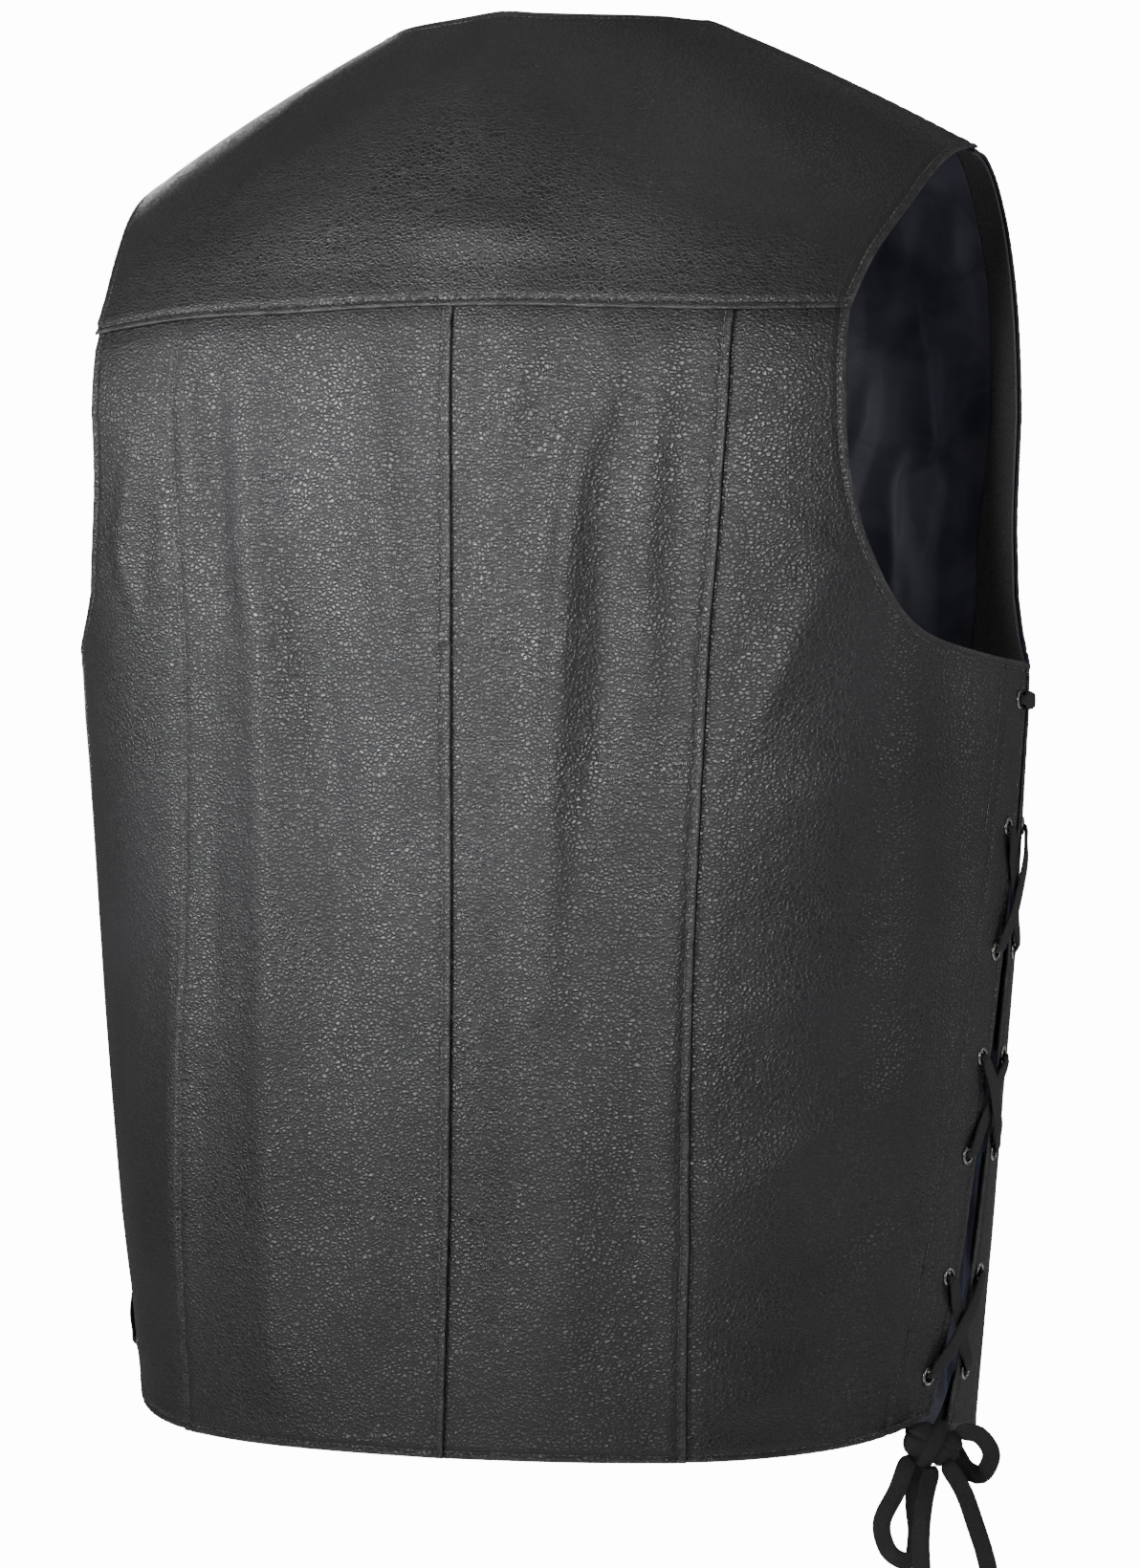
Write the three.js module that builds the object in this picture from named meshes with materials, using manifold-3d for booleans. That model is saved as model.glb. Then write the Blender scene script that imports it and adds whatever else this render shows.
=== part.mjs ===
// Black leather vest with laced sides, filled out as when worn.
// Millimetres. +Z up, front toward -Y, the wearer's left toward +X.
// The origin lies between the shoulders, where the wearer carries the vest.

import * as THREE from 'three';
import { mergeVertices } from 'three/addons/utils/BufferGeometryUtils.js';
import Module from 'manifold-3d';

// Walls and gaps
const LEATHER = 1.6;
const FACING = 1.2;
const LINING = 1.0;
const SEAM = 0.3;

// Body of the vest. Height on the cloth is z below CLOSE_Z, and above it the
// cloth arches over the shoulder, ARCH mm long, up to the shoulder seam.
const CLOSE_Z = -150;
const ARCH = 215;
const SHOULDER_SEAM = CLOSE_Z + ARCH;
const NECK_HALF = 79;
const TIP_HALF = 199;
const TOP_HALF = 224;
const TOP_PEAK = 54;
const TOP_FALL = 0.0765;
const TOP_POWER = 1.325;
const RIDGE_NECK_Y = 2;
const RIDGE_TIP_Y = -19;

// Rings of the body: half width, depth behind and in front, and how square
// the back and front corners are
const RINGS = [
  { z: -622, half: 200.0, back: 137.0, front: 118, backBox: 0.07, frontBox: 0.00 },
  { z: -520, half: 209.6, back: 130.0, front: 116, backBox: 0.15, frontBox: 0.00 },
  { z: -400, half: 219.6, back: 127.5, front: 117, backBox: 0.17, frontBox: 0.03 },
  { z: -290, half: 225.5, back: 127.5, front: 114, backBox: 0.25, frontBox: 0.08 },
  { z: -220, half: 225.0, back: 128.0, front: 112, backBox: 0.32, frontBox: 0.18 },
  { z: -150, half: 224.0, back: 129.0, front: 112, backBox: 0.38, frontBox: 0.25 },
];

// Folds of the cloth, each along a path of angle and height, with the half
// width of its soft ridge and its height. A trough has a height below zero.
const FOLDS = [
  { path: [[26.5, -135], [26.5, -200]], width: 7, height: 1.6 },
  { path: [[23.2, -130], [23.5, -250]], width: 9, height: -2.2 },
  { path: [[20.0, -135], [20.3, -215], [19.3, -250], [20.5, -355], [22.0, -450], [23.0, -590]], width: 17, height: 4.6 },
  { path: [[16.0, -190], [13.5, -270], [12.0, -360], [12.5, -430]], width: 12, height: -2.6 },
  { path: [[7.5, -128], [5.5, -220], [3.2, -315]], width: 16, height: 3.6 },
  { path: [[-3.6, -124], [-2.2, -190], [-1.6, -235]], width: 6, height: -1.6 },
  { path: [[-8.2, -122], [-5.8, -150], [-4.3, -178]], width: 8, height: 2.4 },
  { path: [[-15.5, -138], [-12.2, -175], [-11.2, -212], [-10.4, -300], [-10.2, -420]], width: 11, height: 4.6 },
  { path: [[-15.2, -215], [-15.0, -330]], width: 9, height: -2.0 },
  { path: [[-19.8, -132], [-18.8, -190], [-18.6, -232], [-19.6, -285]], width: 10, height: 3.0 },
  { path: [[-13.0, -470], [-14.0, -590]], width: 22, height: 2.4 },
  { path: [[33.5, -380], [38.0, -470], [41.5, -575]], width: 13, height: 3.0 },
  { path: [[-33.0, -500], [-50.0, -468], [-70.0, -440]], width: 17, height: 2.8 },
  { path: [[-34.0, -545], [-52.0, -520], [-66.0, -505]], width: 12, height: -2.0 },
  { path: [[-33.0, -595], [-50.0, -588]], width: 10, height: 1.8 },
  { path: [[-40.0, -232], [-36.0, -262], [-32.0, -300]], width: 12, height: 1.8 },
  { path: [[3.0, -97], [-8.0, -97]], width: 12, height: 1.8 },
  { path: [[150.0, -150], [146.0, -230], [140.0, -330]], width: 18, height: 2.6 },
  { path: [[-150.0, -150], [-146.0, -230], [-140.0, -330]], width: 18, height: 2.6 },
  { path: [[158.0, -430], [156.0, -560]], width: 20, height: 2.2 },
  { path: [[-158.0, -400], [-155.0, -540]], width: 20, height: 2.2 },
];

// Seams and edges as points of angle from centre back and height. Those of a
// side are for the wearer's left, and the right mirrors them.
const YOKE_SEAM = {
  left: [[0, -121], [15, -117.5], [28, -112.5], [44.5, -109]],
  right: [[0, -121], [15, -119.5], [27.5, -116.5], [42, -110]],
};
const NECKLINE = [[0, -1], [4, 3], [8, 13], [11.5, 28], [14, 46]];
const PRINCESS = {
  left: [[28.2, -116.4], [29.4, -150], [30, -235], [31, -290], [35, -405], [38, -500], [42.5, -622]],
  right: [[26.8, -116.6], [26.2, -190], [25.8, -285], [27.1, -459], [28.6, -543], [31, -622]],
};
const ARMHOLE_YOKE = {
  left: [[44.5, -109], [44.2, -94], [44.2, -78], [44.9, -55], [46.6, -32], [49.5, 10]],
  right: [[42, -110], [43.5, -94], [45, -78], [47.5, -55], [49.3, -32], [50.5, 10]],
};
const ARMHOLE_BACK = {
  left: [[44.5, -109], [44.6, -140], [45, -168], [46, -189], [48, -212]],
  right: [[42, -110], [41.8, -140], [42.3, -168], [43.5, -189], [46, -212]],
};
const ARMPIT_BACK = [[49.8, -232], [54, -246], [59.5, -255], [67.5, -260], [80, -264], [94, -266]];
const ARMPIT_FRONT = [[97, -267], [105, -264], [112, -254], [117.5, -234]];
const ARMHOLE_FRONT = [[117.5, -234], [120.3, -200], [120.8, -150], [121.2, -90], [122.8, -20]];
const SIDE_BACK = [[94, -266], [93.5, -283], [90.5, -340], [87, -396], [84.8, -443], [82.3, -487],
  [79.5, -541], [76.2, -585], [74.5, -603]];
const SIDE_FRONT = [[97, -267], [96.5, -283], [93.3, -340], [90, -396], [88.5, -443], [86.8, -487],
  [84.7, -541], [81.8, -585], [80, -612]];
const HEM_BACK = [[0, -620], [30, -619], [48, -616], [62, -611], [74.5, -603]];
const HEM_FRONT = [[80, -612], [95, -618], [130, -622], [180, -624]];
const V_NECK = [[164.6, 10], [167.6, -80], [172.5, -160], [178, -215]];
const V_BOTTOM = -252;
const OVERLAP = 20;

// Side lacing
const ROWS = [-283, -340, -396, -443, -487, -541, -585];
const EYELET_INSET = 9;
const EYELET = { hole: 2.5, barrel: 3.0, flange: 4.2, thick: 0.7, back: 0.5, gap: 0.5, sides: 8 };
const EYELET_HOLE = 3.4;
const BAND_WIDTH = 28;
const BAND_COLUMNS = 3;
const FACING_COLUMNS = 2;
const LINING_MARGIN = 2;
const LACE = { width: 8.4, thick: 1.5, holeWidth: 3.0, holeThick: 2.2 };

// Bow below the lacing, in mm across (toward the front) and down from the knot
const KNOT = { angle: 71, height: -613, out: 10, size: [24, 11, 20] };
const BOW_ACROSS = [0.927, -0.375, 0];
const BOW = {
  loop_back: [[-9, 6, 1], [-16, 20, 4], [-23, 35, 5], [-19, 48, 3], [-10, 52, -2], [-7, 41, -5], [-8, 26, -6],
    [-6, 8, -4]],
  loop_front: [[11, -4, 1], [20, -4, 3], [25, 4, 3], [21, 13, 0], [15, 11, -4], [9, 3, -3.5]],
  tail_back: [[-1, 10, 1.5], [-4, 23, 7], [-6, 40, 10], [-5, 62, 10], [-3, 84, 9], [-3, 104, 8]],
  tail_front: [[6, 8, 2.5], [13, 20, 7], [18, 34, 9], [23, 50, 9], [27, 74, 8], [28, 102, 7]],
};
const KNOT_GAP = 0.35;
const KNOT_WIDTH = 5;

// Snaps down the front
const SNAP_HEIGHTS = [-292, -376, -460, -544];
const SNAP = { radius: 6.2, height: 2.6 };

// Colours
const COLOURS = {
  leather: { color: 0x17171a, roughness: 0.5, metalness: 0 },
  facing: { color: 0x131214, roughness: 0.62, metalness: 0 },
  lining: { color: 0x0d1020, roughness: 0.42, metalness: 0 },
  lace: { color: 0x121212, roughness: 0.55, metalness: 0 },
  metal: { color: 0x6f7074, roughness: 0.3, metalness: 1 },
};

const toRadians = THREE.MathUtils.degToRad;
const smooth = (value) => THREE.MathUtils.smoothstep(value, 0, 1);

// A value of the rings table at a height, between the two rows that hold it
function ringValue(z, column) {
  const upper = RINGS.findIndex((ring) => ring.z >= z);
  if (upper === 0) return RINGS[0][column];
  if (upper < 0) return RINGS[RINGS.length - 1][column];
  const [low, high] = [RINGS[upper - 1], RINGS[upper]];
  return THREE.MathUtils.lerp(low[column], high[column], (z - low.z) / (high.z - low.z));
}

// How far the arch over the shoulder has turned at a height, 0 to a quarter turn
const archTurn = (height) => Math.max(0, height - CLOSE_Z) / ARCH * Math.PI / 2;

// Half width of the ring at a height
function halfWidth(height) {
  const half = ringValue(Math.min(height, CLOSE_Z), 'half');
  return half + (TOP_HALF - half) * Math.sin(archTurn(height)) ** 2;
}

// The point of the body at an angle from centre back and a height on the cloth
function body(angle, height) {
  const z = Math.min(height, CLOSE_Z);
  const [sin, cos] = [Math.sin(toRadians(angle)), Math.cos(toRadians(angle))];
  const rear = cos >= 0;
  const box = ringValue(z, rear ? 'backBox' : 'frontBox');
  const depth = ringValue(z, rear ? 'back' : 'front');
  const turn = archTurn(height);
  const x = halfWidth(height) * sin * (1 + box * cos * cos);
  const y = depth * cos * (1 + box * sin * sin);
  const along = THREE.MathUtils.clamp((Math.abs(x) - NECK_HALF) / (TIP_HALF - NECK_HALF), -1, 1.2);
  const ridge = RIDGE_NECK_Y + (RIDGE_TIP_Y - RIDGE_NECK_Y) * along;
  const top = TOP_PEAK - TOP_FALL * Math.abs(x) ** TOP_POWER;
  return new THREE.Vector3(x, ridge + (y - ridge) * Math.cos(turn), z + (top - CLOSE_Z) * Math.sin(turn));
}

// Directions of the cloth at a point: round the body, up it, and out of it
function directions(angle, height) {
  const around = body(angle + 0.2, height).sub(body(angle - 0.2, height)).divideScalar(0.4);
  const up = body(angle, height + 1).sub(body(angle, height - 1)).divideScalar(2);
  const out = new THREE.Vector3().crossVectors(up, around).normalize();
  return { around, up, out };
}

// The angle that a length in mm spans at a point
const spanAngle = (length, angle, height) => length / directions(angle, height).around.length();

// The angle at which the ring at a height stands x mm from the middle
function angleAtX(x, height, front) {
  const box = ringValue(Math.min(height, CLOSE_Z), front ? 'frontBox' : 'backBox');
  const share = x / halfWidth(height);
  let sin = share;
  for (let i = 0; i < 30; i += 1) sin = share / (1 + box * (1 - sin * sin));
  const angle = THREE.MathUtils.radToDeg(Math.asin(sin));
  return front ? 180 - angle : angle;
}

// Distance in mm from a point of the cloth to a path, and how far along it
function nearest(path, angle, height, perDegree) {
  let best = { distance: Infinity, along: 0 };
  for (let i = 0; i + 1 < path.length; i += 1) {
    const [a, b] = [path[i], path[i + 1]];
    const [px, py] = [(angle - a[0]) * perDegree, height - a[1]];
    const [dx, dy] = [(b[0] - a[0]) * perDegree, b[1] - a[1]];
    const t = THREE.MathUtils.clamp((px * dx + py * dy) / (dx * dx + dy * dy), 0, 1);
    const distance = Math.hypot(px - t * dx, py - t * dy);
    if (distance < best.distance) best = { distance, along: (i + t) / (path.length - 1) };
  }
  return best;
}

// Height of the folds at a point of the cloth
function foldHeight(angle, height, perDegree) {
  const turned = angle > 180 ? angle - 360 : angle;
  return FOLDS.reduce((sum, fold) => {
    const { distance, along } = nearest(fold.path, turned, height, perDegree);
    const fade = 0.35 + 0.65 * Math.sin(Math.PI * along);
    return sum + fold.height * fade * Math.exp(-((distance / fold.width) ** 2));
  }, 0);
}

// A point of the cloth, raised by its folds and by lift mm
function cloth(angle, height, lift = 0, folds = 1) {
  const { around, out } = directions(angle, height);
  const fold = folds ? folds * foldHeight(angle, height, around.length()) : 0;
  return body(angle, height).addScaledVector(out, fold + lift);
}

// Evenly spaced points of a smooth edge through the given points
function edge(points, steps) {
  const scale = 3.6;
  const curve = new THREE.SplineCurve(points.map(([angle, height]) => new THREE.Vector2(angle * scale, height)));
  return curve.getSpacedPoints(steps).map((point) => [point.x / scale, point.y]);
}

// One edge after another that starts where the first ends
const join = (first, second) => [...first, ...second.slice(1)];

// The points of an edge moved by mm round the body and up it
const moved = (points, round, up) => points.map(([angle, height]) =>
  [angle + (round ? spanAngle(round, angle, height) : 0), height + up]);

// The points of an edge on the wearer's other side, in the opposite order
const mirrored = (points) => points.map(([angle, height]) => [-angle, height]).reverse();

// The point of an edge at a share of its length
function edgeAt(points, share) {
  const place = share * (points.length - 1);
  const i = THREE.MathUtils.clamp(Math.floor(place), 0, points.length - 2);
  return [0, 1].map((k) => THREE.MathUtils.lerp(points[i][k], points[i + 1][k], place - i));
}

// Places of the cloth along a line, spaced in mm. at gives a place from a share
// of the line, and spacing gives the spaced lengths from the whole length.
function spread(at, spacing) {
  const shares = Array.from({ length: 61 }, (_, i) => i / 60);
  const points = shares.map((share) => body(...at(share)));
  const lengths = [0];
  points.slice(1).forEach((point, i) => lengths.push(lengths[i] + point.distanceTo(points[i])));
  return spacing(lengths[60]).map((place) => {
    const i = Math.max(1, lengths.findIndex((length) => length >= place - 1e-6));
    const t = (place - lengths[i - 1]) / (lengths[i] - lengths[i - 1]);
    return at(THREE.MathUtils.lerp(shares[i - 1], shares[i], t));
  });
}

// A panel's grid of cloth points between its four edges, row by row from below.
// Bottom and top run round the body, left and right run up it. spacing gives
// the columns' places in mm along a row from the row's length.
function patch(bottom, top, left, right, spacing) {
  const rows = left.length - 1;
  const mix = THREE.MathUtils.lerp;
  const at = (j, u) => {
    const v = j / rows;
    const [low, high] = [edgeAt(bottom, u), edgeAt(top, u)];
    return [0, 1].map((k) => {
      const sag = mix(low[k] - mix(bottom[0][k], bottom[bottom.length - 1][k], u),
        high[k] - mix(top[0][k], top[top.length - 1][k], u), v);
      return mix(left[j][k], right[j][k], u) + sag;
    });
  };
  return left.map((_, j) => {
    if (!spacing) return bottom.map((__, i) => at(j, i / (bottom.length - 1)));
    return spread((share) => at(j, share), spacing);
  });
}

// Columns spread evenly along a row
const even = (columns) => (length) => Array.from({ length: columns + 1 }, (_, i) => length * i / columns);

const reversed = (spacing) => (length) => spacing(length).map((place) => length - place).reverse();

// Columns along a row that starts at a laced edge: one runs through the
// eyelets and one along the inner edge of the band that they sit in
const fromLacing = (columns) => (length) => [0, EYELET_INSET, 2 * EYELET_INSET,
  ...even(columns - BAND_COLUMNS)(length - BAND_WIDTH).map((place) => place + BAND_WIDTH)];

// The same grid on the wearer's right
const mirrorGrid = (grid) => grid.map((row) => row.map((place) => place && [-place[0], place[1]]).reverse());

// A grid above another: it continues the columns of the lower one's top row
// from the first one on, and the lower one's other columns end there
const stack = (lower, upper, first) => [...lower,
  ...upper.slice(1).map((row) => lower[0].map((_, i) => row[i - first] ?? null))];

// A closed wall over a panel's grid, which may have empty places. lift gives the
// outer face's height over the body, and thick is how far inside the other lies.
function wall(grid, thick, lift = () => 0, folds = 1) {
  let count = 0;
  const number = grid.map((row) => row.map((place) => (place ? count++ : null)));
  const places = grid.flat().filter((place) => place);
  const positions = [0, thick].flatMap((inner) => places.flatMap(([angle, height]) =>
    cloth(angle, height, lift(angle, height) - inner, folds).toArray()));
  const outer = positions.length / 6;
  const index = [];
  const loose = new Map();
  const triangle = (a, b, c) => {
    index.push(a, b, c, a + outer, c + outer, b + outer);
    for (const [from, to] of [[a, b], [b, c], [c, a]]) {
      if (!loose.delete(`${to} ${from}`)) loose.set(`${from} ${to}`, [from, to]);
    }
  };
  for (let j = 0; j + 1 < grid.length; j += 1) {
    for (let i = 0; i + 1 < grid[j].length; i += 1) {
      const corners = [number[j][i], number[j][i + 1], number[j + 1][i + 1], number[j + 1][i]];
      if (corners.some((corner) => corner === null)) continue;
      triangle(corners[0], corners[2], corners[1]);
      triangle(corners[0], corners[3], corners[2]);
    }
  }
  for (const [from, to] of loose.values()) {
    index.push(to, from, from + outer, to, from + outer, to + outer);
  }
  return closedGeometry(positions, index);
}

function closedGeometry(positions, index) {
  const geometry = new THREE.BufferGeometry();
  geometry.setAttribute('position', new THREE.Float32BufferAttribute(positions, 3));
  geometry.setIndex(index);
  geometry.computeVertexNormals();
  return geometry;
}

// Cutting of the lace holes
const wasm = await Module();
wasm.setup();

function toSolid(geometry) {
  const plain = geometry.clone();
  plain.deleteAttribute('normal');
  plain.deleteAttribute('uv');
  const merged = mergeVertices(plain, 1e-4);
  const mesh = new wasm.Mesh({
    numProp: 3,
    vertProperties: new Float32Array(merged.attributes.position.array),
    triVerts: new Uint32Array(merged.index.array),
  });
  return new wasm.Manifold(mesh);
}

function cutAway(geometry, tools) {
  const result = tools.reduce((solid, tool) => solid.subtract(toSolid(tool)), toSolid(geometry));
  const mesh = result.getMesh();
  return closedGeometry(Array.from(mesh.vertProperties), Array.from(mesh.triVerts));
}

// Places of the eyelets on a panel's side edge, from the top row down
function eyeletPlaces(sideEdge, side, inward) {
  const fine = edge(sideEdge, 400);
  return ROWS.map((height) => {
    const found = fine.reduce((a, b) => (Math.abs(b[1] - height) < Math.abs(a[1] - height) ? b : a));
    const angle = found[0] + inward * spanAngle(EYELET_INSET, found[0], height);
    return [side * angle, height];
  });
}

// A frame on the cloth: its point, its outward direction and a turn that
// brings the Y axis onto that direction
function seat([angle, height], lift = 0, folds = 1) {
  const { out } = directions(angle, height);
  const turn = new THREE.Quaternion().setFromUnitVectors(new THREE.Vector3(0, 1, 0), out);
  return { point: cloth(angle, height, lift, folds), out, turn };
}

function holeCutter(place) {
  const { point, turn } = seat(place, -LEATHER / 2);
  const geometry = new THREE.CylinderGeometry(EYELET_HOLE, EYELET_HOLE, 3 * LEATHER, EYELET.sides);
  return geometry.applyQuaternion(turn).translate(point.x, point.y, point.z);
}

// The eyelet: a flange on the outer face, a barrel and a washer inside
function eyeletGeometry() {
  const high = EYELET.gap;
  const top = high + EYELET.thick;
  const low = -LEATHER - EYELET.gap;
  const profile = [
    [EYELET.hole, low - EYELET.back], [EYELET.flange, low - EYELET.back], [EYELET.flange, low],
    [EYELET.barrel, low], [EYELET.barrel, high], [EYELET.flange, high],
    [EYELET.hole, top],
  ];
  profile.push(profile[0]);
  const points = profile.map(([radius, y]) => new THREE.Vector2(radius, y));
  return new THREE.LatheGeometry(points, EYELET.sides);
}

// The snap's domed cap
function snapGeometry() {
  const { radius, height } = SNAP;
  const points = [[0, 0], [radius, 0], [radius, 0.7], [radius * 0.8, height * 0.72], [radius * 0.4, height], [0, height]];
  return new THREE.LatheGeometry(points.map(([r, y]) => new THREE.Vector2(r, y)), 12);
}

// A flat cord through sections: each has a point, a width direction, a width
// and a thickness
function ribbon(sections) {
  const shape = [[0.5, 0.18], [0.4, 0.5], [-0.4, 0.5], [-0.5, 0.18], [-0.5, -0.18], [-0.4, -0.5], [0.4, -0.5], [0.5, -0.18]];
  const sides = shape.length;
  const positions = [];
  let before = null;
  sections.forEach((section, i) => {
    const ahead = sections[Math.min(i + 1, sections.length - 1)].point;
    const behind = sections[Math.max(i - 1, 0)].point;
    const tangent = ahead.clone().sub(behind).normalize();
    if (section.tangent) tangent.copy(section.tangent).multiplyScalar(Math.sign(section.tangent.dot(tangent)));
    const across = section.across.clone().addScaledVector(tangent, -section.across.dot(tangent)).normalize();
    if (before && before.dot(across) < 0) across.negate();
    before = across;
    const through = new THREE.Vector3().crossVectors(tangent, across);
    for (const [a, b] of shape) {
      const point = section.point.clone().addScaledVector(across, a * section.width);
      positions.push(...point.addScaledVector(through, b * section.thick).toArray());
    }
  });
  const index = [];
  for (let i = 0; i + 1 < sections.length; i += 1) {
    for (let k = 0; k < sides; k += 1) {
      const next = (k + 1) % sides;
      const [a, b, c, d] = [i * sides + k, i * sides + next, (i + 1) * sides + next, (i + 1) * sides + k];
      index.push(a, b, c, a, c, d);
    }
  }
  const last = (sections.length - 1) * sides;
  for (let k = 1; k + 1 < sides; k += 1) {
    index.push(0, k + 1, k, last, last + k, last + k + 1);
  }
  return closedGeometry(positions, index);
}

// Lace route. Stops are eyelets, named by column and row, in the order in
// which the lace goes through them, from the knot up to the bar and back down.
const LACE_STOPS = ['front 7', 'back 6', 'back 5', 'front 4', 'front 3', 'back 2', 'back 1',
  'front 1', 'front 2', 'back 3', 'back 4', 'front 5', 'front 6', 'back 7'];
// Its ends run down inside and come out under the hem, each place with its
// angle, height and lift, from the last eyelet to the knot
const LACE_ENDS = {
  front: { places: [[82.5, -603, -4.2], [77.5, -619, -4.4]], knot: [5, 7, -4] },
  back: { places: [[72.4, -597, -4.2], [71.6, -611, -3.8]], knot: [-4, 3, -5] },
};
const LACE_OUTSIDE = SEAM + LACE.thick / 2;
const LACE_INSIDE = -LEATHER - EYELET.gap - EYELET.back - SEAM - LACE.thick / 2;

// The sections of the lace through one eyelet, from the side it comes from to
// the side it goes to. outward tells whether it comes out.
function eyeletPass(seatHere, from, to, outward) {
  const steps = [
    { ahead: from, reach: 5.2, lift: [2.3, LACE_INSIDE], width: 7.2, thick: LACE.thick },
    { ahead: from, reach: 0.7, lift: [1.9, -3.35], width: 3.6, thick: 1.9 },
    { ahead: from, reach: 0, lift: [-0.8, -0.8], width: LACE.holeWidth, thick: LACE.holeThick },
    { ahead: to, reach: 0.7, lift: [-3.35, 1.9], width: 3.6, thick: 1.9 },
    { ahead: to, reach: 5.2, lift: [LACE_INSIDE, 2.3], width: 7.2, thick: LACE.thick },
  ];
  return steps.map(({ ahead, reach, lift, width, thick }, i) => {
    const point = seatHere.point.clone().addScaledVector(ahead, reach);
    point.addScaledVector(seatHere.out, lift[outward ? 1 : 0]);
    const run = i < 2 ? from : to;
    const across = new THREE.Vector3().crossVectors(seatHere.out, run);
    if (i === 2) across.add(new THREE.Vector3().crossVectors(seatHere.out, from).multiplyScalar(0.5));
    return { point, across, width, thick };
  });
}

// The direction on the cloth from one place toward another
function heading(place, goal) {
  const { around, up, out } = directions(...place);
  const way = around.multiplyScalar(goal[0] - place[0]).addScaledVector(up, goal[1] - place[1]);
  return way.addScaledVector(out, -way.dot(out)).normalize();
}

// Sections between two eyelets, over the cloth at a lift
function laceRun(start, end, lift, steps) {
  return Array.from({ length: steps }, (_, i) => {
    const t = (i + 1) / (steps + 1);
    const place = [start[0] + (end[0] - start[0]) * t, start[1] + (end[1] - start[1]) * t];
    const { out } = directions(...place);
    const across = new THREE.Vector3().crossVectors(out, heading(place, end));
    return { point: cloth(...place, lift, 0), across, width: LACE.width, thick: LACE.thick };
  });
}

function knotFrame(side) {
  const place = [side * KNOT.angle, KNOT.height];
  const { point } = seat(place, KNOT.out, 0);
  const across = new THREE.Vector3(side * BOW_ACROSS[0], BOW_ACROSS[1], BOW_ACROSS[2]).normalize();
  const down = new THREE.Vector3(0, 0, -1);
  const toward = new THREE.Vector3(side * -BOW_ACROSS[1], BOW_ACROSS[0], 0).normalize();
  return { point, across, down, toward };
}

function knotPoint(side, [across, down, toward]) {
  const frame = knotFrame(side);
  return frame.point.clone().addScaledVector(frame.across, across)
    .addScaledVector(frame.down, down).addScaledVector(frame.toward, toward);
}

// A place just outside the knot, in the direction given as for knotPoint, and
// the knot's outward direction there
function knotSurface(side, direction) {
  const half = [KNOT.size[0] / 2, KNOT.size[2] / 2, KNOT.size[1] / 2];
  const reach = 1 / Math.hypot(...direction.map((value, k) => value / half[k]));
  const place = direction.map((value) => value * reach);
  const slope = new THREE.Vector3(...place.map((value, k) => value / half[k] ** 2)).normalize().toArray();
  const point = knotPoint(side, place.map((value, k) => value + slope[k] * KNOT_GAP));
  const further = knotPoint(side, place.map((value, k) => value + slope[k] * (KNOT_GAP + 1)));
  return { point, normal: further.sub(point) };
}

// The lace's way from an end at the knot to the last eyelet
function laceEnd(side, column) {
  const { places, knot } = LACE_ENDS[column];
  const flat = { width: LACE.width, thick: LACE.thick };
  const around = knotFrame(side).across.clone();
  const inside = places.map(([angle, height, lift]) => {
    const place = [side * angle, height];
    const across = directions(...place).around.normalize();
    return { point: cloth(...place, lift, 0), across, ...flat };
  });
  if (side > 0) return inside.slice(0, 1);
  const { point, normal } = knotSurface(side, knot);
  return [...inside, { point, tangent: normal, across: around, width: KNOT_WIDTH, thick: LACE.thick }];
}

function laceSections(side, columns) {
  const places = LACE_STOPS.map((stop) => {
    const [column, row] = stop.split(' ');
    return columns[column][Number(row) - 1];
  });
  const below = (column) => [side * LACE_ENDS[column].places[0][0], LACE_ENDS[column].places[0][1]];
  const route = [below('front'), ...places, below('back')];
  const sections = laceEnd(side, 'front').reverse();
  places.forEach((place, i) => {
    const outward = i % 2 === 0;
    const [previous, next] = [route[i], route[i + 2]];
    if (i > 0) {
      const crossing = outward ? LACE_INSIDE : LACE_OUTSIDE + 0.25 + (i > 7 ? LACE.thick + 2 * SEAM : 0);
      sections.push(...laceRun(previous, place, crossing, outward ? 0 : 2));
    }
    sections.push(...eyeletPass(seat(place), heading(place, previous), heading(place, next), outward));
  });
  return [...sections, ...laceEnd(side, 'back')];
}

// A free stretch of the bow: smooth through its points, turned to show its face
function bowStretch(side, points, closing) {
  const start = knotSurface(side, points[0]);
  const end = closing ? knotSurface(side, points.at(-1)) : null;
  const free = points.slice(1, closing ? -1 : undefined).map((point) => knotPoint(side, point));
  const beside = ({ point, normal }) => point.clone().addScaledVector(normal, 3);
  const route = [start.point, beside(start), ...free];
  if (closing) route.push(beside(end), end.point);
  const curve = new THREE.CatmullRomCurve3(route);
  const steps = Math.max(6, Math.ceil(curve.getLength() / 10));
  const frame = knotFrame(side);
  const sections = Array.from({ length: steps + 1 }, (_, i) => {
    const along = curve.getTangentAt(i / steps);
    const level = new THREE.Vector3().crossVectors(frame.toward, along);
    const across = level.normalize().multiplyScalar(0.75).addScaledVector(frame.toward, 0.66);
    const atKnot = (i === 0 && start) || (i === steps && end);
    const width = atKnot ? KNOT_WIDTH : LACE.width;
    return { point: curve.getPointAt(i / steps), tangent: atKnot?.normal, across, width, thick: LACE.thick };
  });
  return ribbon(sections);
}

const group = new THREE.Group();

function addPiece(name, geometry, look) {
  const mesh = new THREE.Mesh(geometry, new THREE.MeshStandardMaterial(COLOURS[look]));
  mesh.name = name;
  group.add(mesh);
}

// Half of each seam's gap, taken from both pieces that meet there
const HALF_SEAM = SEAM / 2;
const COLUMN = { centre: 8, side: 5, armpit: 7, front: 10, yokeNeck: 4, yokeShoulder: 7, armpitFront: 4 };
const ROW = { low: 11, high: 6, yoke: 8, shoulder: 10 };

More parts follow.
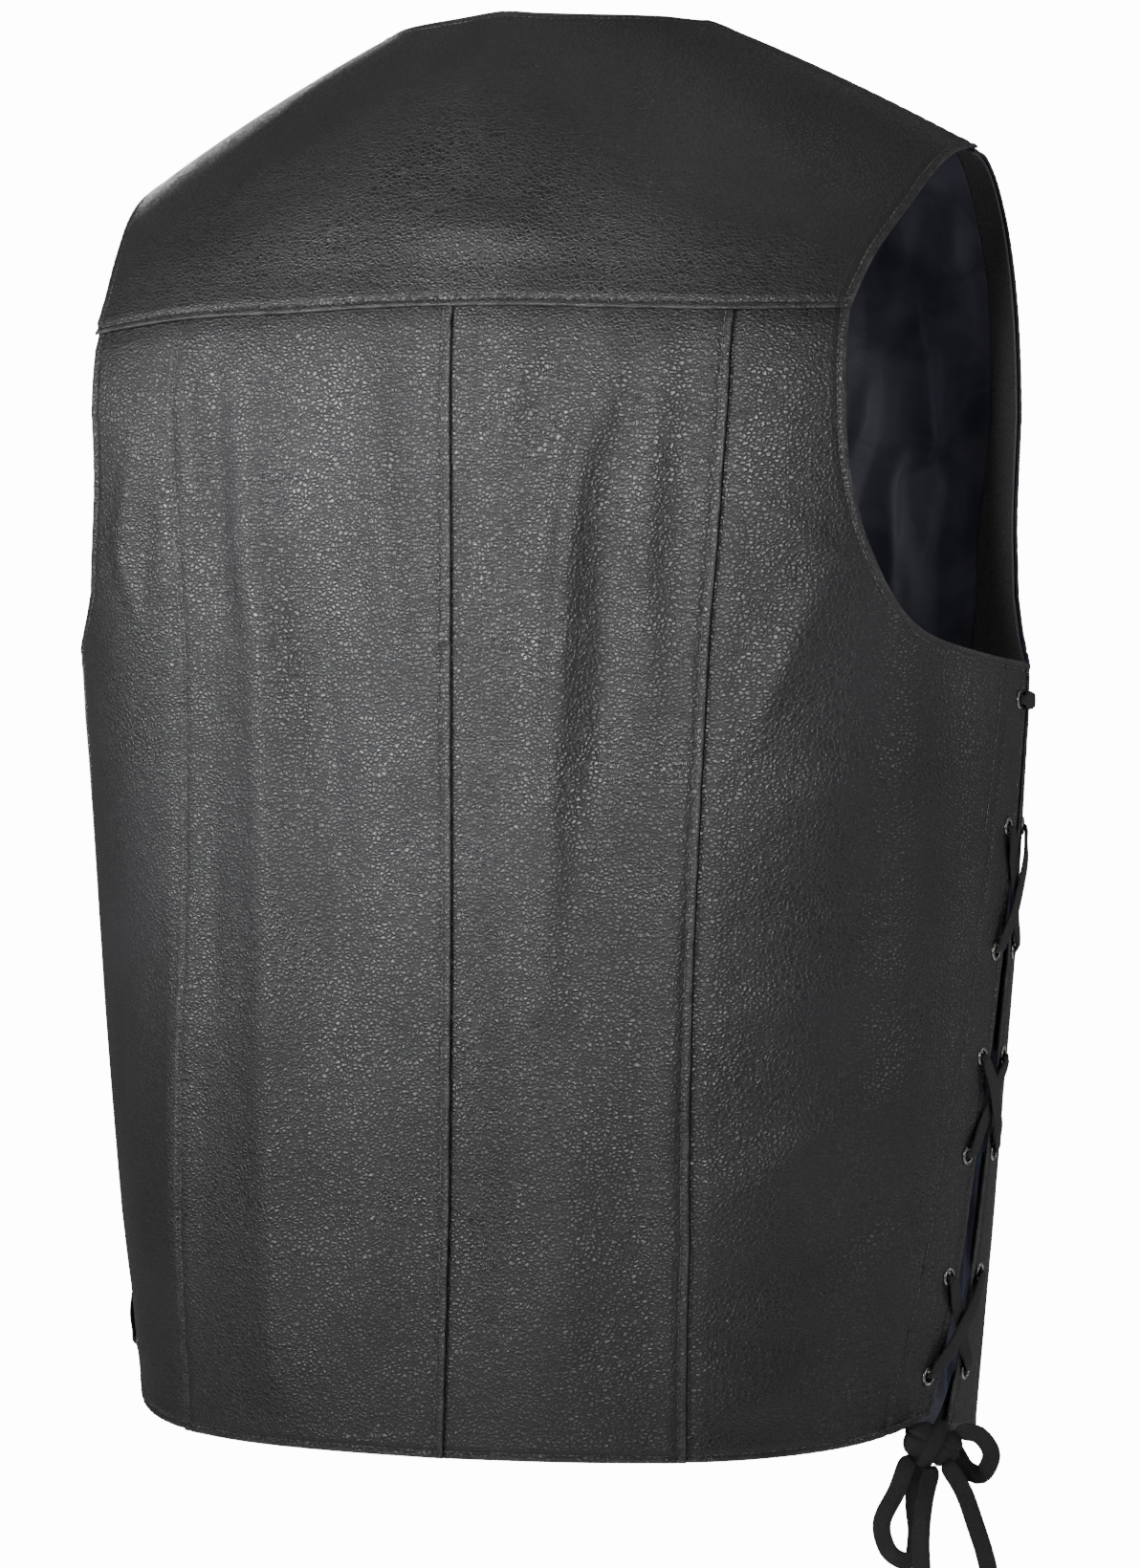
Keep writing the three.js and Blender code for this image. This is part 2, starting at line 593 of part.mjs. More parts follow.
// Yoke: one piece across both shoulders
function addYoke() {
  const shoulder = Array.from({ length: COLUMN.yokeShoulder + 1 }, (_, i) => {
    const x = NECK_HALF + (TIP_HALF - NECK_HALF) * i / COLUMN.yokeShoulder;
    return [angleAtX(x, SHOULDER_SEAM, false), SHOULDER_SEAM - HALF_SEAM];
  });
  const neck = edge([...NECKLINE, shoulder[0]], COLUMN.yokeNeck);
  const top = join(neck, shoulder);
  const seam = (side) => edge(moved(YOKE_SEAM[side], 0, HALF_SEAM), COLUMN.yokeNeck + COLUMN.yokeShoulder);
  const bottom = join(mirrored(seam('right')), seam('left'));
  const armhole = (side) => edge([seam(side).at(-1), ...ARMHOLE_YOKE[side].slice(1), top.at(-1)], ROW.yoke);
  const other = armhole('right').map(([angle, height]) => [-angle, height]);
  const grid = patch(bottom, join(mirrored(top), top), other, armhole('left'));
  addPiece('back_yoke', wall(grid, LEATHER), 'leather');
}

// The height of an edge at an angle
function heightAt(points, angle) {
  const fine = edge(points, 300);
  return fine.reduce((a, b) => (Math.abs(b[0] - angle) < Math.abs(a[0] - angle) ? b : a))[1];
}

// Part of an edge between two angles
function between(points, first, last, steps, up) {
  return Array.from({ length: steps + 1 }, (_, i) => {
    const angle = first + (last - first) * i / steps;
    return [angle, heightAt(points, angle) + up];
  });
}

const onSide = (grid, side) => (side > 0 ? grid : mirrorGrid(grid));

function addBack(side, name) {
  const seam = PRINCESS[name];
  const [top, low] = [seam[0][0], seam.at(-1)[0]];
  const gap = HALF_SEAM / 3.9;
  const yokeSeam = (first, last) => between(YOKE_SEAM[name], first, last, 40, -HALF_SEAM);
  const hem = (first, last) => between(HEM_BACK, first, last, 40, 0);
  const rising = seam.slice(1, -1).reverse();
  const shifted = (points, shift) => points.map(([angle, height]) => [angle + shift, height]);

  const centreHem = hem(gap, low - gap);
  const centreTop = yokeSeam(gap, top - gap);
  const rows = ROW.low + ROW.high;
  const middle = edge([centreHem[0], centreTop[0]], rows);
  const outer = edge([centreHem[40], ...shifted(rising, -gap), centreTop[40]], rows);
  const centre = patch(centreHem, centreTop, middle, outer, even(COLUMN.centre));
  addPiece(`back_centre_${name}`, wall(onSide(centre, side), LEATHER), 'leather');

  const flankTop = yokeSeam(top + gap, ARMHOLE_BACK[name][0][0]);
  const flankHem = hem(low + gap, HEM_BACK.at(-1)[0]);
  const inner = edge([flankHem[0], ...shifted(rising, gap), flankTop[0]], rows);
  const shelf = inner[ROW.low];
  const across = edge([shelf, [(shelf[0] + 48) / 2, -235], ARMPIT_BACK[0]], COLUMN.side);
  const hollow = edge(ARMPIT_BACK, 60);
  const armpit = spread((share) => edgeAt(hollow, share), reversed(fromLacing(COLUMN.armpit)));
  const laced = edge([...SIDE_BACK].reverse(), ROW.low);
  laced[ROW.low] = armpit.at(-1);
  const columns = COLUMN.side + COLUMN.armpit;
  const lower = patch(flankHem, join(across, armpit), inner.slice(0, ROW.low + 1), laced, reversed(fromLacing(columns)));
  lower[ROW.low] = join(across, armpit);
  const rim = edge([ARMPIT_BACK[0], ...[...ARMHOLE_BACK[name]].reverse()], ROW.high);
  rim[ROW.high] = flankTop[40];
  const upper = patch(across, yokeSeam(top + gap, flankTop[40][0]).filter((_, i) => i % 8 === 0),
    inner.slice(ROW.low), rim);
  const places = eyeletPlaces(SIDE_BACK, side, -1);
  const flank = onSide(stack(lower, upper, 0), side);
  addPiece(`back_side_${name}`, cutAway(wall(flank, LEATHER), places.map(holeCutter)), 'leather');
  return places;
}

// The left front laps over the right, so it is lifted near the middle
const lapLift = (angle, height) => {
  const { x } = body(angle, height);
  return (LEATHER + SEAM + 0.15) * smooth((60 - x) / 34);
};

function addFront(side, name) {
  const lift = side > 0 ? lapLift : () => 0;
  const hemEnd = [angleAtX(-OVERLAP, -624, true), -624];
  const hem = edge([...HEM_FRONT.slice(0, -1), hemEnd], 60);
  const shoulder = Array.from({ length: COLUMN.front + 1 }, (_, i) => {
    const x = THREE.MathUtils.lerp(TIP_HALF, NECK_HALF, i / COLUMN.front);
    return [angleAtX(x, SHOULDER_SEAM, true), SHOULDER_SEAM - HALF_SEAM];
  });
  const closing = Array.from({ length: ROW.low + 1 }, (_, i) => {
    const height = THREE.MathUtils.lerp(hemEnd[1], V_BOTTOM, i / ROW.low);
    return [angleAtX(-OVERLAP, height, true), height];
  });
  const hollow = edge(ARMPIT_FRONT, 60);
  const armpit = spread((share) => edgeAt(hollow, share), fromLacing(COLUMN.armpitFront));
  const across = edge([ARMPIT_FRONT.at(-1), [150, -246], closing[ROW.low]], COLUMN.front);
  const laced = edge([...SIDE_FRONT].reverse(), ROW.low);
  const columns = COLUMN.front + COLUMN.armpitFront;
  const lower = patch(hem, join(armpit, across), laced, closing, fromLacing(columns));
  lower[ROW.low] = join(armpit, across);
  const rim = edge([...ARMHOLE_FRONT, shoulder[0]], ROW.shoulder);
  const neck = edge([closing[ROW.low], ...[...V_NECK].reverse(), shoulder.at(-1)], ROW.shoulder);
  const grid = stack(lower, patch(across, shoulder, rim, neck), COLUMN.armpitFront);
  const places = eyeletPlaces(SIDE_FRONT, side, 1);
  const holes = places.map(holeCutter);
  addPiece(`front_${name}`, cutAway(wall(onSide(grid, side), LEATHER, lift), holes), 'leather');
  addFacing(side, name, grid);
  addLining(side, name, grid, lift);
  return places;
}

// A place of the cloth moved toward another
const toward = (place, goal, share) => [0, 1].map((k) => THREE.MathUtils.lerp(place[k], goal[k], share));

// A front's grid without the places that a piece inside it leaves out
const keep = (grid, inside) => grid.map((row, j) => row.map((place, i) => (place && inside(i, j) ? place : null)));

// Strip of leather inside the front's armhole edge, on the front's own columns
function addFacing(side, name, grid) {
  const first = COLUMN.armpitFront;
  const rows = keep(grid, (i, j) => (j >= ROW.low && i <= first + FACING_COLUMNS)
    || (j === ROW.low - 1 && i >= 2 && i <= first + FACING_COLUMNS));
  rows[ROW.low].fill(null, 0, 2);
  const lift = () => -LEATHER - SEAM;
  addPiece(`armhole_facing_${name}`, wall(onSide(rows, side), FACING, lift), 'facing');
}

// Lining of a front: it hangs inside the leather with soft folds of its own,
// from the lacing band and the facing to the front edge
function addLining(side, name, grid, lift) {
  const inward = (angle, height) => {
    const wave = Math.sin(angle * 0.62 + height * 0.018) * Math.sin(angle * 0.21 - height * 0.027);
    const border = smooth((Math.abs(angle) - 108) / 14) * smooth((176 - Math.abs(angle)) / 14);
    return lift(angle, height) - LEATHER - SEAM - 0.15 - border * (1.8 + 1.8 * wave);
  };
  const first = COLUMN.armpitFront + FACING_COLUMNS;
  const last = grid[0].length - LINING_MARGIN;
  const rows = keep(grid, (i, j) => i < last && (i >= first || (i >= BAND_COLUMNS && j < ROW.low)));
  for (let i = BAND_COLUMNS; i < first; i += 1) {
    rows[ROW.low - 1][i] = toward(rows[ROW.low - 1][i], rows[ROW.low - 2][i], 0.05);
  }
  rows[ROW.low - 1][first] = toward(rows[ROW.low - 1][first], rows[ROW.low - 2][first + 1], 0.05);
  for (let j = ROW.low; j < rows.length; j += 1) {
    rows[j][first] = toward(rows[j][first], rows[j][first + 1], 0.08);
  }
  rows[0] = rows[0].map((place, i) => place && toward(place, rows[1][i], 0.3));
  rows[rows.length - 1] = rows.at(-1).map((place, i) => place && toward(place, rows.at(-2)[i], 0.15));
  addPiece(`lining_front_${name}`, wall(onSide(rows, side), LINING, inward), 'lining');
}

function addLacing(side, name, columns) {
  for (const [column, places] of Object.entries(columns)) {
    places.forEach((place, i) => {
      const { point, turn } = seat(place);
      const geometry = eyeletGeometry().applyQuaternion(turn).translate(point.x, point.y, point.z);
      addPiece(`eyelet_${name}_${column}_${i + 1}`, geometry, 'metal');
    });
  }
  addPiece(`lace_${name}`, ribbon(laceSections(side, columns)), 'lace');
}

// Bow on the wearer's right: the knot, two loops and two tails
function addBow(side, name) {
  const frame = knotFrame(side);
  const basis = new THREE.Matrix4().makeBasis(frame.across, frame.toward, frame.down.clone().multiplyScalar(-side));
  const knot = new THREE.SphereGeometry(0.5, 12, 8).scale(...KNOT.size).applyMatrix4(basis);
  addPiece(`knot_${name}`, knot.translate(frame.point.x, frame.point.y, frame.point.z), 'lace');
  for (const [stretch, points] of Object.entries(BOW)) {
    addPiece(`${stretch}_${name}`, bowStretch(side, points, stretch.startsWith('loop')), 'lace');
  }
}

function addSnaps() {
  SNAP_HEIGHTS.forEach((height, i) => {
    const angle = 180;
    const { point, turn } = seat([angle, height], lapLift(angle, height) + SEAM);
    const geometry = snapGeometry().applyQuaternion(turn).translate(point.x, point.y, point.z);
    addPiece(`snap_${i + 1}`, geometry, 'metal');
  });
}

addYoke();
for (const [side, name] of [[1, 'left'], [-1, 'right']]) {
  const columns = { back: addBack(side, name), front: addFront(side, name) };
  addLacing(side, name, columns);
}
addBow(-1, 'right');
addSnaps();

export default group;
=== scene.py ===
"""Looks of a black leather vest with laced sides, filled out as when worn.

Lengths in the classes are millimetres, and meshes are made in metres. A place on
the cloth is an angle from centre back, in degrees toward the wearer's left, and
a height on the cloth. The front is toward -Y and the wearer's left toward +X.
"""

import logging
import math
from dataclasses import dataclass, field
from enum import Enum

import bpy
import numpy as np
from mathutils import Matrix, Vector


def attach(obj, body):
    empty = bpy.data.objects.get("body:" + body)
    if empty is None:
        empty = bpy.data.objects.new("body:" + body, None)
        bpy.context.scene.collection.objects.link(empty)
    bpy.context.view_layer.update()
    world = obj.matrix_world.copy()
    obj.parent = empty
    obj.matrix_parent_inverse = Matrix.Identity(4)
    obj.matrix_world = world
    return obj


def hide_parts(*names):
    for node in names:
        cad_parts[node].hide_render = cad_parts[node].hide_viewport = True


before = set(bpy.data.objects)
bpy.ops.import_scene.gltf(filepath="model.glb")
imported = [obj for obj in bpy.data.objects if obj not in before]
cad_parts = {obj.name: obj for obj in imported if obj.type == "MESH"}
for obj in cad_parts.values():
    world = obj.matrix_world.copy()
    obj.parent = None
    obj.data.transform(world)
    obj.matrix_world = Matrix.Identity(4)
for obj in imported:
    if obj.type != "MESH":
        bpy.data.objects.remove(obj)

LOG = logging.getLogger("vest")
MM = 0.001
Array = np.ndarray
Colour = tuple[float, float, float]


class Slot(Enum):
    """Material slots of the panels."""

    LEATHER = "leather"
    FACING = "facing"
    LINING = "lining"
    LACE = "lace"
    METAL = "metal"


class Side(Enum):
    """Sides of the wearer. The value is the sign of X and of the angle."""

    LEFT = 1
    RIGHT = -1

    @property
    def word(self) -> str:
        """Name of the side as the nodes have it."""
        return self.name.lower()


def smooth(value: Array) -> Array:
    """Soft step from 0 to 1: three value squared less two value cubed, clamped.

    Args:
        value: Where on the step, 0 at its foot and 1 at its top.

    Returns:
        Height of the step.
    """
    t = np.clip(value, 0.0, 1.0)
    return t * t * (3.0 - 2.0 * t)


def unit(vectors: Array) -> Array:
    """Vectors scaled to length one."""
    return vectors / np.maximum(np.linalg.norm(vectors, axis=-1, keepdims=True), 1e-9)


def walked(points: Array) -> Array:
    """Length of a line of points from its start to each of them."""
    return np.concatenate([[0], np.cumsum(np.linalg.norm(np.diff(points, axis=0), axis=1))])


def between(marks: Array, places: Array, rows: Array) -> Array:
    """Rows at marks, straight between the rows given at places."""
    return np.stack([np.interp(marks, places, column) for column in rows.T], axis=-1)


def cubic(a: Array, b: Array, slope_a: Array, slope_b: Array, steps: int) -> Array:
    """Points of the cubics that leave each a and reach its b with the given slopes.

    Args:
        a: First point of each cubic.
        b: Last point of each cubic, which is the next one's first.
        slope_a: Slope at each a.
        slope_b: Slope at each b.
        steps: Steps of each cubic.

    Returns:
        The points in order, with the last b.
    """
    t = np.linspace(0, 1, steps, endpoint=False)[:, None, None]
    bend = (2 * a - 2 * b + slope_a + slope_b) * t**3 + (3 * b - 3 * a - 2 * slope_a - slope_b) * t**2
    line = bend + slope_a * t + a
    return np.vstack([line.transpose(1, 0, 2).reshape(-1, a.shape[1]), b[-1:]])


def circle(steps: int) -> Array:
    """Angles of even steps round a circle, in radians."""
    return np.linspace(0, 2 * math.pi, steps, endpoint=False)


def circle_about(out: Array, steps: int) -> Array:
    """Unit directions round outward ones, in even steps.

    Args:
        out: Outward directions, one in each last row.
        steps: Steps round the circle.

    Returns:
        A row for each step, after the rows of the outward directions.
    """
    one = unit(np.cross(out, [0.0, 0.0, 1.0]))[..., None, :]
    two = np.cross(out[..., None, :], one)
    turn = circle(steps)[:, None]
    return np.cos(turn) * one + np.sin(turn) * two


def joined_rings(rings: int, around: int, closed: bool = False) -> Array:
    """Quads between rings of points that follow each other.

    Args:
        rings: Number of rings.
        around: Points in each ring.
        closed: Whether the last ring joins the first.

    Returns:
        The quads, by the numbers of their points.
    """
    i, k = np.meshgrid(np.arange(rings if closed else rings - 1), np.arange(around), indexing="ij")
    ahead, after = (i + 1) % rings, (k + 1) % around
    corners = [i * around + k, i * around + after, ahead * around + after, ahead * around + k]
    return np.stack(corners, axis=-1).reshape(-1, 4)


def added(name: str, data: bpy.types.ID) -> bpy.types.Object:
    """A new object of the data, in the scene."""
    thing = bpy.data.objects.new(name, data)
    bpy.context.scene.collection.objects.link(thing)
    return thing


# The form of the vest


@dataclass(frozen=True)
class Fold:
    """A soft ridge along a path of angle and height. A trough is below zero."""

    path: tuple[tuple[float, float], ...]
    width: float
    height: float

    def on_both(self) -> tuple["Fold", "Fold"]:
        """This fold and the same one on the wearer's other side."""
        return self, Fold(tuple((-angle, height) for angle, height in self.path), self.width, self.height)


@dataclass(frozen=True)
class BodyForm:
    """The surface that the leather's outer face follows."""

    close: float = -150.0
    arch: float = 215.0
    neck_half: float = 79.0
    tip_half: float = 199.0
    top_half: float = 224.0
    top_peak: float = 54.0
    top_fall: float = 0.0765
    top_power: float = 1.325
    ridge_neck: float = 2.0
    ridge_tip: float = -19.0
    # Columns: z, half width, depth behind, depth in front, squareness behind, in front
    rings: tuple[tuple[float, ...], ...] = (
        (-622, 200.0, 137.0, 118, 0.07, 0.00),
        (-520, 209.6, 130.0, 116, 0.15, 0.00),
        (-400, 219.6, 127.5, 117, 0.17, 0.03),
        (-290, 225.5, 127.5, 114, 0.25, 0.08),
        (-220, 225.0, 128.0, 112, 0.32, 0.18),
        (-150, 224.0, 129.0, 112, 0.38, 0.25),
    )
    # Large folds of the source, then the smaller creases between them
    folds: tuple[Fold, ...] = (
        Fold(((26.5, -135), (26.5, -200)), 7, 1.6),
        Fold(((23.2, -130), (23.5, -250)), 9, -2.2),
        Fold(((20.0, -135), (20.3, -215), (19.3, -250), (20.5, -355), (22.0, -450), (23.0, -590)), 17, 4.6),
        Fold(((16.0, -190), (13.5, -270), (12.0, -360), (12.5, -430)), 12, -2.6),
        Fold(((7.5, -128), (5.5, -220), (3.2, -315)), 16, 3.6),
        Fold(((-3.6, -124), (-2.2, -190), (-1.6, -235)), 6, -1.6),
        Fold(((-8.2, -122), (-5.8, -150), (-4.3, -178)), 8, 2.4),
        Fold(((-15.5, -138), (-12.2, -175), (-11.2, -212), (-10.4, -300), (-10.2, -420)), 11, 4.6),
        Fold(((-15.2, -215), (-15.0, -330)), 9, -2.0),
        Fold(((-19.8, -132), (-18.8, -190), (-18.6, -232), (-19.6, -285)), 10, 3.0),
        Fold(((-13.0, -470), (-14.0, -590)), 22, 2.4),
        Fold(((33.5, -380), (38.0, -470), (41.5, -575)), 13, 3.0),
        Fold(((-33.0, -500), (-50.0, -468), (-70.0, -440)), 17, 2.8),
        Fold(((-34.0, -545), (-52.0, -520), (-66.0, -505)), 12, -2.0),
        Fold(((-33.0, -595), (-50.0, -588)), 10, 1.8),
        Fold(((-40.0, -232), (-36.0, -262), (-32.0, -300)), 12, 1.8),
        Fold(((3.0, -97), (-8.0, -97)), 12, 1.8),
        *Fold(((150.0, -150), (146.0, -230), (140.0, -330)), 18, 2.6).on_both(),
        Fold(((158.0, -430), (156.0, -560)), 20, 2.2),
        Fold(((-158.0, -400), (-155.0, -540)), 20, 2.2),
    )
    creases: tuple[Fold, ...] = (
        Fold(((4.6, -150), (4.4, -235)), 2.6, -0.5),
        Fold(((36.0, -165), (40.0, -215), (37.5, -245)), 6, 1.2),
        Fold(((33.0, -190), (36.5, -240)), 7, -1.2),
        Fold(((-31.0, -200), (-38.0, -214), (-43.0, -222)), 6, 1.0),
        Fold(((-30.0, -238), (-37.0, -250), (-48.0, -256)), 7, -1.0),
        Fold(((-34.0, -330), (-46.0, -318), (-60.0, -310)), 12, 1.4),
        Fold(((-32.0, -382), (-48.0, -366), (-66.0, -358)), 10, -1.0),
        Fold(((-31.0, -425), (-46.0, -410), (-62.0, -402)), 9, 1.1),
        Fold(((-30.5, -562), (-40.0, -566), (-50.0, -562)), 5, -0.9),
        Fold(((-31.0, -578), (-41.0, -581), (-52.0, -576)), 5, 0.9),
        Fold(((-55.0, -540), (-62.0, -560), (-68.0, -586)), 7, 1.1),
        Fold(((-22.5, -330), (-24.0, -440), (-24.5, -540)), 8, 1.0),
        Fold(((-5.0, -330), (-6.5, -440), (-7.5, -560)), 9, -1.1),
        Fold(((9.0, -470), (10.0, -590)), 12, 1.2),
        Fold(((27.5, -330), (30.0, -420)), 6, -0.9),
        *Fold(((22.0, -15), (30.0, -40), (36.0, -80)), 16, 0.9).on_both(),
        *Fold(((14.0, -60), (24.0, -72), (34.0, -70)), 14, -0.8).on_both(),
        Fold(((112.0, -330), (124.0, -350), (138.0, -392)), 12, 1.6),
        Fold(((-112.0, -330), (-124.0, -356), (-136.0, -400)), 12, 1.6),
        Fold(((104.0, -470), (120.0, -486), (140.0, -520)), 14, -1.4),
        Fold(((-104.0, -460), (-120.0, -480), (-140.0, -508)), 14, -1.4),
        *Fold(((128.0, -40), (134.0, -110), (132.0, -180)), 12, 1.2).on_both(),
        Fold(((60.0, -330), (66.0, -430), (66.0, -540)), 14, 1.5),
        Fold(((52.0, -380), (55.0, -470)), 10, -1.0),
    )

    def ring(self, z: Array, column: int) -> Array:
        """A column of the rings at heights z, straight between rows."""
        table = np.array(self.rings)
        return np.interp(z, table[:, 0], table[:, column])

    def arch_turn(self, height: Array) -> Array:
        """How far the arch over the shoulder has turned, 0 to a quarter turn."""
        return np.maximum(0.0, height - self.close) / self.arch * math.pi / 2

    def half_width(self, height: Array) -> Array:
        """Half width of the ring at a height, widened over the shoulder."""
        half = self.ring(np.minimum(height, self.close), 1)
        return half + (self.top_half - half) * np.sin(self.arch_turn(height)) ** 2

    def point(self, angle: Array, height: Array) -> Array:
        """Points of the body.

        Each ring is an ellipse whose corners are pushed out by its squareness.
        Above the closing height the depth shrinks by the arch's cosine toward
        the ridge of the shoulder, and z grows by the arch's sine.

        Args:
            angle: Angles from centre back, in degrees.
            height: Heights on the cloth.

        Returns:
            Points, one in each last row.
        """
        z = np.minimum(height, self.close)
        sin, cos = np.sin(np.radians(angle)), np.cos(np.radians(angle))
        rear = cos >= 0
        box = np.where(rear, self.ring(z, 4), self.ring(z, 5))
        depth = np.where(rear, self.ring(z, 2), self.ring(z, 3))
        turn = self.arch_turn(height)
        x = self.half_width(height) * sin * (1 + box * cos * cos)
        y = depth * cos * (1 + box * sin * sin)
        along = np.clip((np.abs(x) - self.neck_half) / (self.tip_half - self.neck_half), -1.0, 1.2)
        ridge = self.ridge_neck + (self.ridge_tip - self.ridge_neck) * along
        top = self.top_peak - self.top_fall * np.abs(x) ** self.top_power
        return np.stack(
            [x, ridge + (y - ridge) * np.cos(turn), z + (top - self.close) * np.sin(turn)], axis=-1
        )

    def directions(self, angle: Array, height: Array) -> tuple[Array, Array, Array]:
        """Directions of the cloth, by differences.

        Args:
            angle: Angles from centre back.
            height: Heights on the cloth.

        Returns:
            The way round it per degree, the way up it, and the unit way out of it.
        """
        around = (self.point(angle + 0.2, height) - self.point(angle - 0.2, height)) / 0.4
        up = (self.point(angle, height + 1) - self.point(angle, height - 1)) / 2
        return around, up, unit(np.cross(up, around))

    def outward(self, angle: Array, height: Array) -> Array:
        """Unit direction out of the cloth."""
        return self.directions(angle, height)[2]

    def angle_at_x(self, x: Array, height: Array, front: bool) -> Array:
        """Angle at which a ring stands x from the middle, found by repeated tries.

        Args:
            x: Distances from the middle.
            height: Heights of the rings.
            front: Whether the angle lies in the front half.

        Returns:
            Angles from centre back.
        """
        box = self.ring(np.minimum(height, self.close), 5 if front else 4)
        share = x / self.half_width(height)
        sin = share
        for _ in range(30):
            sin = share / (1 + box * (1 - sin * sin))
        angle = np.degrees(np.arcsin(sin))
        return 180 - angle if front else angle

    def fold_height(self, angle: Array, height: Array, per_degree: Array, fine: bool = True) -> Array:
        """Height of the folds: across each path a bell curve with a sharper one on it.

        It is lower at the path's ends.

        Args:
            angle: Angles from centre back.
            height: Heights on the cloth.
            per_degree: Length of one degree there.
            fine: Whether the small creases count too.

        Returns:
            Heights over the body.
        """
        turned = (angle + 180.0) % 360.0 - 180.0
        total = np.zeros_like(turned)
        for fold in self.folds + (self.creases if fine else ()):
            best = np.full_like(turned, np.inf)
            along = np.zeros_like(turned)
            for i, (a, b) in enumerate(zip(fold.path, fold.path[1:])):
                px, py = (turned - a[0]) * per_degree, height - a[1]
                dx, dy = (b[0] - a[0]) * per_degree, b[1] - a[1]
                t = np.clip((px * dx + py * dy) / (dx * dx + dy * dy), 0, 1)
                gap = np.hypot(px - t * dx, py - t * dy)
                near = gap < best
                best = np.where(near, gap, best)
                along = np.where(near, (i + t) / (len(fold.path) - 1), along)
            fade = 0.35 + 0.65 * np.sin(math.pi * along)
            share = best / fold.width
            total += fold.height * fade * (0.8 * np.exp(-(share**2)) + 0.3 * np.exp(-((share / 0.45) ** 2)))
        return total

    def cloth(self, angle: Array, height: Array, lift: Array | float = 0.0, fine: bool = True) -> Array:
        """Points of the cloth, raised along its outward direction.

        Args:
            angle: Angles from centre back.
            height: Heights on the cloth.
            lift: Height over the folds.
            fine: Whether the small creases count too.

        Returns:
            Points, one in each last row.
        """
        around, _, out = self.directions(angle, height)
        fold = self.fold_height(angle, height, np.linalg.norm(around, axis=-1), fine)
        return self.point(angle, height) + out * (fold + lift)[..., None]


FORM = BodyForm()


class Edge:
    """A smooth edge through points of angle and height, walked by share of length."""

    # Millimetres that a degree counts for in the length
    SCALE = 3.6

    def __init__(self, points: list | Array, straight: bool = False) -> None:
        """Samples the edge.

        A smooth edge is a cubic through the points whose slope at each is half
        the step between its neighbours.

        Args:
            points: Angle and height of each point.
            straight: Whether the points are already close together.
        """
        p = np.array(points, float)
        if not straight:
            q = np.vstack([p[:1], p, p[-1:]])
            p = cubic(q[1:-2], q[2:-1], (q[2:-1] - q[:-3]) / 2, (q[3:] - q[1:-2]) / 2, 40)
        self.points = p
        self.walked = walked(p * np.array([self.SCALE, 1.0]))

    @property
    def length(self) -> float:
        """Length of the edge in mm, nearly."""
        return float(self.walked[-1])

    def at(self, share: Array) -> Array:
        """Angle and height at shares of the length."""
        s = np.asarray(share, float) * self.length
        return between(s, self.walked, self.points)

    def height_at(self, angle: Array) -> Array:
        """Height of the edge at angles that rise along it."""
        return np.interp(angle, self.points[:, 0], self.points[:, 1])

    def part(self, first: float, last: float, up: float = 0.0) -> "Edge":
        """The edge between two angles, moved up by mm."""
        angle = np.linspace(first, last, 81)
        return Edge(np.stack([angle, self.height_at(angle) + up], axis=1), straight=True)

    def joined(self, other: "Edge") -> "Edge":
        """This edge and then another that starts where it ends."""
        return Edge(np.vstack([self.points, other.points[1:]]), straight=True)

    def reversed(self) -> "Edge":
        """The edge walked from its other end."""
        return Edge(self.points[::-1], straight=True)

    def mirrored(self) -> "Edge":
        """The edge on the wearer's other side, walked from its other end."""
        return Edge(self.points[::-1] * np.array([-1, 1]), straight=True)

    def flipped(self) -> "Edge":
        """The edge on the wearer's other side, walked from the same end."""
        return Edge(self.points * np.array([-1, 1]), straight=True)


# Seams and edges as points of angle and height, on the wearer's left unless named
YOKE_SEAM = {
    Side.LEFT: ((0, -121), (15, -117.5), (28, -112.5), (44.5, -109)),
    Side.RIGHT: ((0, -121), (15, -119.5), (27.5, -116.5), (42, -110)),
}
NECKLINE = ((0, -1), (4, 3), (8, 13), (11.5, 28), (14, 46))
PRINCESS = {
    Side.LEFT: ((28.2, -116.4), (29.4, -150), (30, -235), (31, -290), (35, -405), (38, -500), (42.5, -622)),
    Side.RIGHT: ((26.8, -116.6), (26.2, -190), (25.8, -285), (27.1, -459), (28.6, -543), (31, -622)),
}
ARMHOLE_YOKE = {
    Side.LEFT: ((44.5, -109), (44.2, -94), (44.2, -78), (44.9, -55), (46.6, -32), (49.5, 10)),
    Side.RIGHT: ((42, -110), (43.5, -94), (45, -78), (47.5, -55), (49.3, -32), (50.5, 10)),
}
ARMHOLE_BACK = {
    Side.LEFT: ((44.5, -109), (44.6, -140), (45, -168), (46, -189), (48, -212)),
    Side.RIGHT: ((42, -110), (41.8, -140), (42.3, -168), (43.5, -189), (46, -212)),
}
ARMPIT_BACK = ((49.8, -232), (54, -246), (59.5, -255), (67.5, -260), (80, -264), (94, -266))
ARMPIT_FRONT = ((97, -267), (105, -264), (112, -254), (117.5, -234))
ARMHOLE_FRONT = ((117.5, -234), (120.3, -200), (120.8, -150), (121.2, -90), (122.8, -20))
SIDE_BACK = (
    (94, -266), (93.5, -283), (90.5, -340), (87, -396), (84.8, -443), (82.3, -487), (79.5, -541),
    (76.2, -585), (74.5, -603),
)
SIDE_FRONT = (
    (97, -267), (96.5, -283), (93.3, -340), (90, -396), (88.5, -443), (86.8, -487), (84.7, -541),
    (81.8, -585), (80, -612),
)
HEM_BACK = ((0, -620), (30, -619), (48, -616), (62, -611), (74.5, -603))
HEM_FRONT = ((80, -612), (95, -618), (130, -622))
V_NECK = ((164.6, 10), (167.6, -80), (172.5, -160), (178, -215))
V_BOTTOM = -252.0
OVERLAP = 20.0
